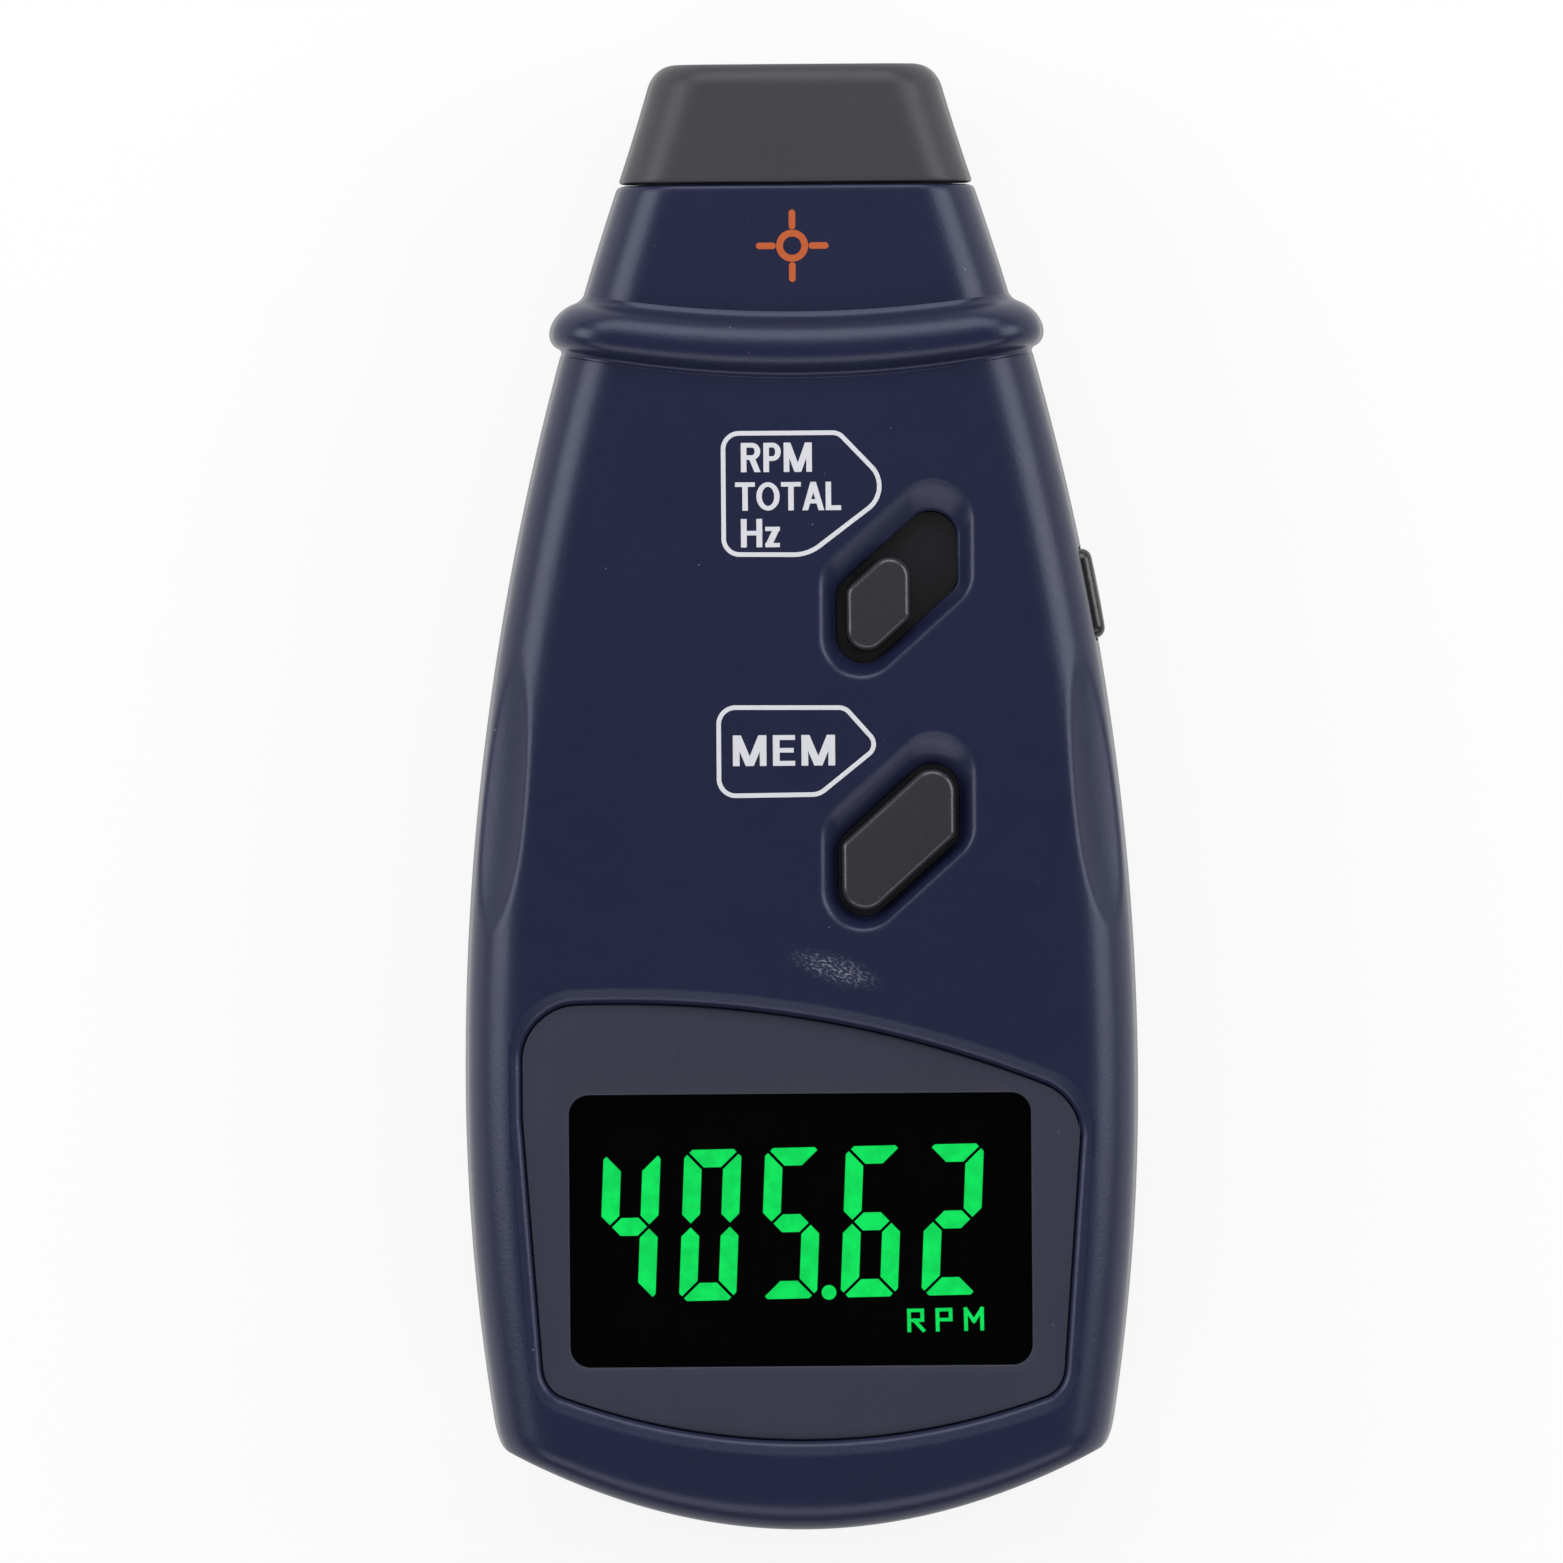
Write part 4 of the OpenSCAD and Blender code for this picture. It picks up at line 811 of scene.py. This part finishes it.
def modeKnob():
    at = pocket["mode"]
    face = float(faceHeight(*at))
    skirtTop = face - pocket["deep"] - pocket["skin"] - keys["skirtDrop"]
    slide = math.radians(keys["slant"])
    back = (at[0] - keys["travel"] * math.cos(slide), at[1] - keys["travel"] * math.sin(slide))
    skirt = discHull(plainSlant(at) + plainSlant(back))
    foot = level(skirt, keys["skirtOut"], skirtTop - keys["plate"])
    plate = plugMesh("modeKnob", [foot] + shoulder(skirt, 0.0, skirtTop, steps=1))
    edge = keyEdge("knob", (at[0] + keys["knobRest"][0], at[1] + keys["knobRest"][1]))
    rings = [level(edge, 0.12, skirtTop - 0.3)] + shoulder(edge, keys["roll"], face - 0.06)
    knob = plugMesh("knob", rings, dome=0.05)
    settle(combine(plate, [("UNION", knob)], 34), "mode_slider", "key_grey", keyLook, "mode_knob")


def memoryButton():
    at = pocket["memory"]
    face = float(faceHeight(*at))
    flangeTop = face - pocket["deep"] - pocket["skin"] - keys["flangePlay"]
    rim = discHull(plainSlant(at))
    flange = plugMesh("memoryButton", slab(rim, flangeTop - keys["plate"], flangeTop, 1))
    edge = keyEdge("button", at)
    rings = [level(edge, 0, flangeTop - 0.3)] + shoulder(edge, keys["roll"], face)
    button = plugMesh("button", rings, dome=0.09)
    settle(combine(flange, [("UNION", button)], 34), "memory_key", "key_grey", keyLook, "memory_button")


def measureButton():
    plateAt = measure["plate"]
    plate = sidePlug("measureButton", slab(triggerPlate(), plateAt - measure["plateThick"], plateAt))
    edge = discHull(boxDiscs((0, 0), measure["long"], measure["high"], measure["r"]))
    rings = [level(edge, 0, plateAt - 0.3)] + shoulder(edge, measure["roll"], measure["out"] - 0.1)
    push = sidePlug("push", rings, dome=0.09)
    settle(combine(plate, [("UNION", push)], 34), "measure_key", "key_grey", keyLook, "measure_button")


modeKnob()
memoryButton()
measureButton()
print("keys made")

# printing on the face: words as (text, left, foot, width, height, gap), frames as corners with their radius
labels = {
    "words": [("RPM", -6.17, 35.4, 7.75, 3.2, 0.1), ("TOTAL", -6.82, 31.2, 11.55, 3.1, 0.05),
              ("Hz", -6.22, 27.2, 4.25, 3.1, 0.1), ("MEM", -7.27, 3.35, 11.15, 3.35, 0.19)],
    "frames": [
        [(-8.35, 26.2, 2.0), (1.15, 26.1, 5.0), (10.8, 33.4, 3.3), (4.6, 39.9, 1.8), (-8.35, 39.9, 2.0)],
        [(-9.05, -0.15, 2.1), (2.2, -0.05, 2.4), (9.05, 5.45, 1.6), (5.1, 9.9, 1.8), (-9.05, 10.0, 2.1)]],
    "stroke": 0.5, "high": 0.03, "sunk": -0.05, "stem": 0.2, "arm": 0.16,
}


def barStroke(left, foot, right, top):
    return np.array([(left, foot), (right, foot), (right, top), (left, top)])


def slantStroke(foot, top, wide, low=0.0, high=1.0):  # its left edge runs from foot to top
    return np.array([(foot, low), (foot + wide, low), (top + wide, high), (top, high)])


def bowlStroke(x, y, wide, tall, side=1):  # half of an oval ring
    turn = np.radians(np.linspace(-90, 90, 17))
    c, s = side * np.cos(turn), np.sin(turn)
    outer = np.column_stack([x + wide * c, y + tall * s])
    inner = np.column_stack([x + (wide - labels["stem"]) * c, y + (tall - labels["arm"]) * s])
    return np.concatenate([outer, inner[::-1]])[::side]


stem = barStroke(0, 0, labels["stem"], 1)
letters = {
    "R": [stem, barStroke(0.1, 0.84, 0.4, 1), barStroke(0.1, 0.42, 0.4, 0.58),
          bowlStroke(0.4, 0.71, 0.29, 0.29), slantStroke(0.48, 0.27, 0.22, 0, 0.5)],
    "P": [stem, barStroke(0.1, 0.84, 0.33, 1), barStroke(0.1, 0.38, 0.33, 0.54),
          bowlStroke(0.33, 0.69, 0.29, 0.31)],
    "M": [stem, stem + (0.8, 0), slantStroke(0.38, 0, 0.24), slantStroke(0.38, 0.76, 0.24)],
    "T": [barStroke(0, 0.84, 0.72, 1), barStroke(0.26, 0, 0.46, 0.9)],
    "O": [bowlStroke(0.42, 0.5, 0.43, 0.5), bowlStroke(0.43, 0.5, 0.43, 0.5, -1)],
    "A": [slantStroke(0, 0.3, 0.21), slantStroke(0.59, 0.29, 0.21), barStroke(0.16, 0.24, 0.64, 0.39)],
    "L": [stem, barStroke(0.1, 0, 0.56, 0.17)],
    "H": [stem, stem + (0.53, 0), barStroke(0.1, 0.42, 0.63, 0.58)],
    "z": [barStroke(0, 0.57, 0.5, 0.72), barStroke(0, 0, 0.5, 0.15), slantStroke(0, 0.26, 0.24, 0.08, 0.64)],
    "E": [stem, barStroke(0.1, 0.84, 0.66, 1), barStroke(0.1, 0.43, 0.62, 0.58), barStroke(0.1, 0, 0.66, 0.16)],
}


# discs that round the corners of a convex outline given anticlockwise
def cornerDiscs(corners):
    here, r = np.asarray(corners, float)[:, :2], np.asarray(corners, float)[:, 2]
    before = np.roll(here, 1, 0) - here
    after = np.roll(here, -1, 0) - here
    before /= np.linalg.norm(before, axis=1, keepdims=True)
    after /= np.linalg.norm(after, axis=1, keepdims=True)
    middle = before + after
    middle /= np.linalg.norm(middle, axis=1, keepdims=True)
    half = np.arccos(np.clip((before * after).sum(1), -1, 1)) / 2
    return np.column_stack([here + middle * (r / np.sin(half))[:, None], r])


# flat band of ink along an outline: four corner rings joined round, resting on the face
def inkBand(name, outline, stroke, lift=0.0):
    high, low = lift + labels["high"], lift + labels["sunk"]
    corners = ((0, low), (0, high), (-stroke, high), (-stroke, low))
    rings = rise(outline, corners, 1)
    n = len(rings[0])
    faces = (np.array(gridFaces(5, n, closed=True)) % (4 * n)).tolist()
    return putMesh(name, np.concatenate(rings), faces)


# a word: the strokes of its letters joined flat, then stretched to its box and laid on the face
def inkWord(text, left, foot, wide, tall, gap):
    strokes, at = [], 0.0
    for letter in text:
        strokes += [form + (at, 0) for form in letters[letter]]
        at += max(form[:, 0].max() for form in letters[letter]) + gap
    flat = [[np.column_stack([form, np.full(len(form), z)]) for z in (0.0, 1.0)] for form in strokes]
    pieces = [plugMesh(text, rings) for rings in flat]
    word = combine(pieces[0], [("UNION", piece) for piece in pieces[1:]])

    def lay(x, y, z):
        x = left + x / (at - gap) * wide
        y = foot + y * tall
        return x, y, faceHeight(x, y) + np.where(z > 0.5, labels["high"], labels["sunk"])

    return moved(word, lay)


def joined(name, parts):  # several meshes as one object
    with bpy.context.temp_override(active_object=parts[0], selected_editable_objects=parts):
        bpy.ops.object.join()
    parts[0].name = name
    parts[0].data.name = name
    return parts[0]


inkLook = mouldedLook("inkWhite", linear(206, 206, 213), rough=0.5, grain=0.04, tone=0.03, dust=0.0)
frames = [inkBand("frame", discHull(cornerDiscs(corners)), labels["stroke"]) for corners in labels["frames"]]
words = [inkWord(*word) for word in labels["words"]]
settle(joined("faceLabels", frames + words), "case", "shell_blue", inkLook)

# aiming mark on the head: a ring and four short bars
aim = {"at": (-0.4, 60.1), "ringR": 1.75, "stroke": 0.75, "barFrom": 2.15, "barTo": 3.6, "barHalf": 0.36}
aimLook = mouldedLook("inkOrange", linear(176, 86, 46), rough=0.5, grain=0.04, tone=0.05, dust=0.0)
marks = [inkBand("ring", discHull([(*aim["at"], aim["ringR"])], turns=72), aim["stroke"], -case["headStep"])]
for turn in range(4):
    c, s = math.cos(turn * math.pi / 2), math.sin(turn * math.pi / 2)
    x, y = aim["at"]
    bar = discHull([(x + c * r, y + s * r, aim["barHalf"]) for r in (aim["barFrom"], aim["barTo"])], turns=32)
    foot, top = labels["sunk"] - case["headStep"], labels["high"] - case["headStep"]
    marks.append(plugMesh("bar", slab(bar, foot, top, share=1)))
settle(joined("aimMark", marks), "case", "shell_blue", aimLook)
print("printing laid on the face")

# finishes of the pieces that keep their CAD form, each with its nodes
finishes = [
    (metalLook("screwSteel", linear(178, 178, 182)), "case_screws board_screws contact_clips"),
    (metalLook("drawnCan", linear(196, 196, 200), streak=(0.2, 0.2, 1.0)),
     "clock_crystal storage_capacitor mode_switch"),
    (metalLook("turnedBrass", linear(206, 168, 92), streak=(1.0, 0.1, 1.0)), "laser_module"),
    (mouldedLook("chipBlack", linear(34, 34, 37), rough=0.5), "controller_chip memory_switch measure_switch"),
    (mouldedLook("frameBlack", linear(30, 30, 33), rough=0.5),
     "lcd_frame receiver_tube optics_bracket contact_plate"),
    (mouldedLook("stemWhite", linear(222, 222, 218), rough=0.4, tone=0.04),
     "mode_lever memory_plunger measure_plunger"),
    (mouldedLook("panelWhite", linear(224, 228, 222), rough=0.4, tone=0.04), "backlight_panel"),
    (mouldedLook("stripRubber", linear(190, 140, 148), rough=0.6), "contact_strips"),
    (mouldedLook("boardGreen", linear(40, 110, 66), rough=0.3, tone=0.16), "main_board"),
    (mouldedLook("diodeDark", linear(70, 34, 40), rough=0.15, grain=0.02), "photodiode"),
    (mouldedLook("batteryWrap", linear(78, 80, 90), rough=0.3, grain=0.05), "battery"),
    (mouldedLook("cellGlass", linear(1, 2, 1), rough=0.15, grain=0.01, dust=0.0, specular=0.05), "lcd_glass"),
    (clearLook("smokePane", linear(6, 8, 6), seen=0.12, rough=0.05, specular=0.05), "lcd_pane"),
    (glowLook("litGreen", linear(14, 228, 94)), "lcd_segments"),
    (clearLook("lensRed", linear(190, 60, 56), seen=0.45), "laser_lens"),
    (clearLook("lensClear", linear(180, 200, 218), seen=0.3), "receiver_lens"),
]
for look, names in finishes:
    for name in names.split():
        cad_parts[name].data.materials.clear()
        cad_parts[name].data.materials.append(look)
print("finishes on the CAD pieces")

# stage: pale floor that looks white to the camera and keeps the shadow, soft boxes round the object
studio = {"floorHalf": 2.5, "floorDrop": 0.05, "paper": 0.86, "glow": 0.86, "world": 0.14, "distance": 5.0,
          "planeZ": 0.0155, "frameWide": 0.17105, "middle": (-0.00199, 0.00164), "roll": -0.42}
corners = np.array([(-1, -1, 0), (1, -1, 0), (1, 1, 0), (-1, 1, 0)]) * studio["floorHalf"] * 1000
floor = putMesh("floor", corners - [0, 0, studio["floorDrop"]], [[0, 1, 2, 3]])
paper = bpy.data.materials.new("studioPaper")
paper.use_nodes = True
tree = paper.node_tree
tree.nodes.remove(tree.nodes["Principled BSDF"])
start = Wire(tree)
path = tree.nodes.new("ShaderNodeLightPath")
seen = Wire(tree, path.outputs["Is Camera Ray"]) + Wire(tree, path.outputs["Is Glossy Ray"])
seen = seen + Wire(tree, path.outputs["Is Transmission Ray"])
sheet = start.add("BsdfDiffuse", None, {"Color": (studio["paper"],) * 3 + (1,)})
shine = start.add("Emission", None, {"Color": (1, 1, 1, 1), "Strength": 1.0})
shown = start.add("MixShader", None, {0: seen * studio["glow"], 1: sheet, 2: shine})
tree.links.new(shown.socket, tree.nodes["Material Output"].inputs["Surface"])
floor.data.materials.append(paper)

world = bpy.data.worlds.new("studio")
world.use_nodes = True
world.node_tree.nodes["Background"].inputs["Color"].default_value = (1, 1, 1, 1)
world.node_tree.nodes["Background"].inputs["Strength"].default_value = studio["world"]
bpy.context.scene.world = world

softBoxes = [("left", (-0.75, 0.25, 0.48), (0.7, 0.55), 4.7), ("right", (0.75, 0.25, 0.48), (0.7, 0.55), 4.7),
             ("head", (0.0, 0.95, 0.65), (1.0, 0.7), 7.2), ("tail", (0.0, -0.85, 0.75), (2.0, 0.5), 6.4)]
for name, place, (wide, tall), power in softBoxes:
    lamp = bpy.data.lights.new(name, "AREA")
    lamp.shape = "RECTANGLE"
    lamp.size = wide
    lamp.size_y = tall
    lamp.energy = power
    box = bpy.data.objects.new(name, lamp)
    box.location = place
    away = -np.array(place)
    flat = math.hypot(away[0], away[1])
    box.rotation_euler = (math.atan2(flat, -away[2]), 0, math.atan2(away[1], away[0]) - math.pi / 2)
    bpy.context.scene.collection.objects.link(box)

lens = bpy.data.cameras.new("camera")
lens.sensor_width = 36
lens.lens = 36 * studio["distance"] / studio["frameWide"]
lens.clip_end = 50
camera = bpy.data.objects.new("camera", lens)
camera.location = (*studio["middle"], studio["planeZ"] + studio["distance"])
camera.rotation_euler = (0, 0, math.radians(studio["roll"]))
bpy.context.scene.collection.objects.link(camera)
bpy.context.scene.camera = camera
bpy.context.scene.view_settings.view_transform = "Standard"
print("stage set")
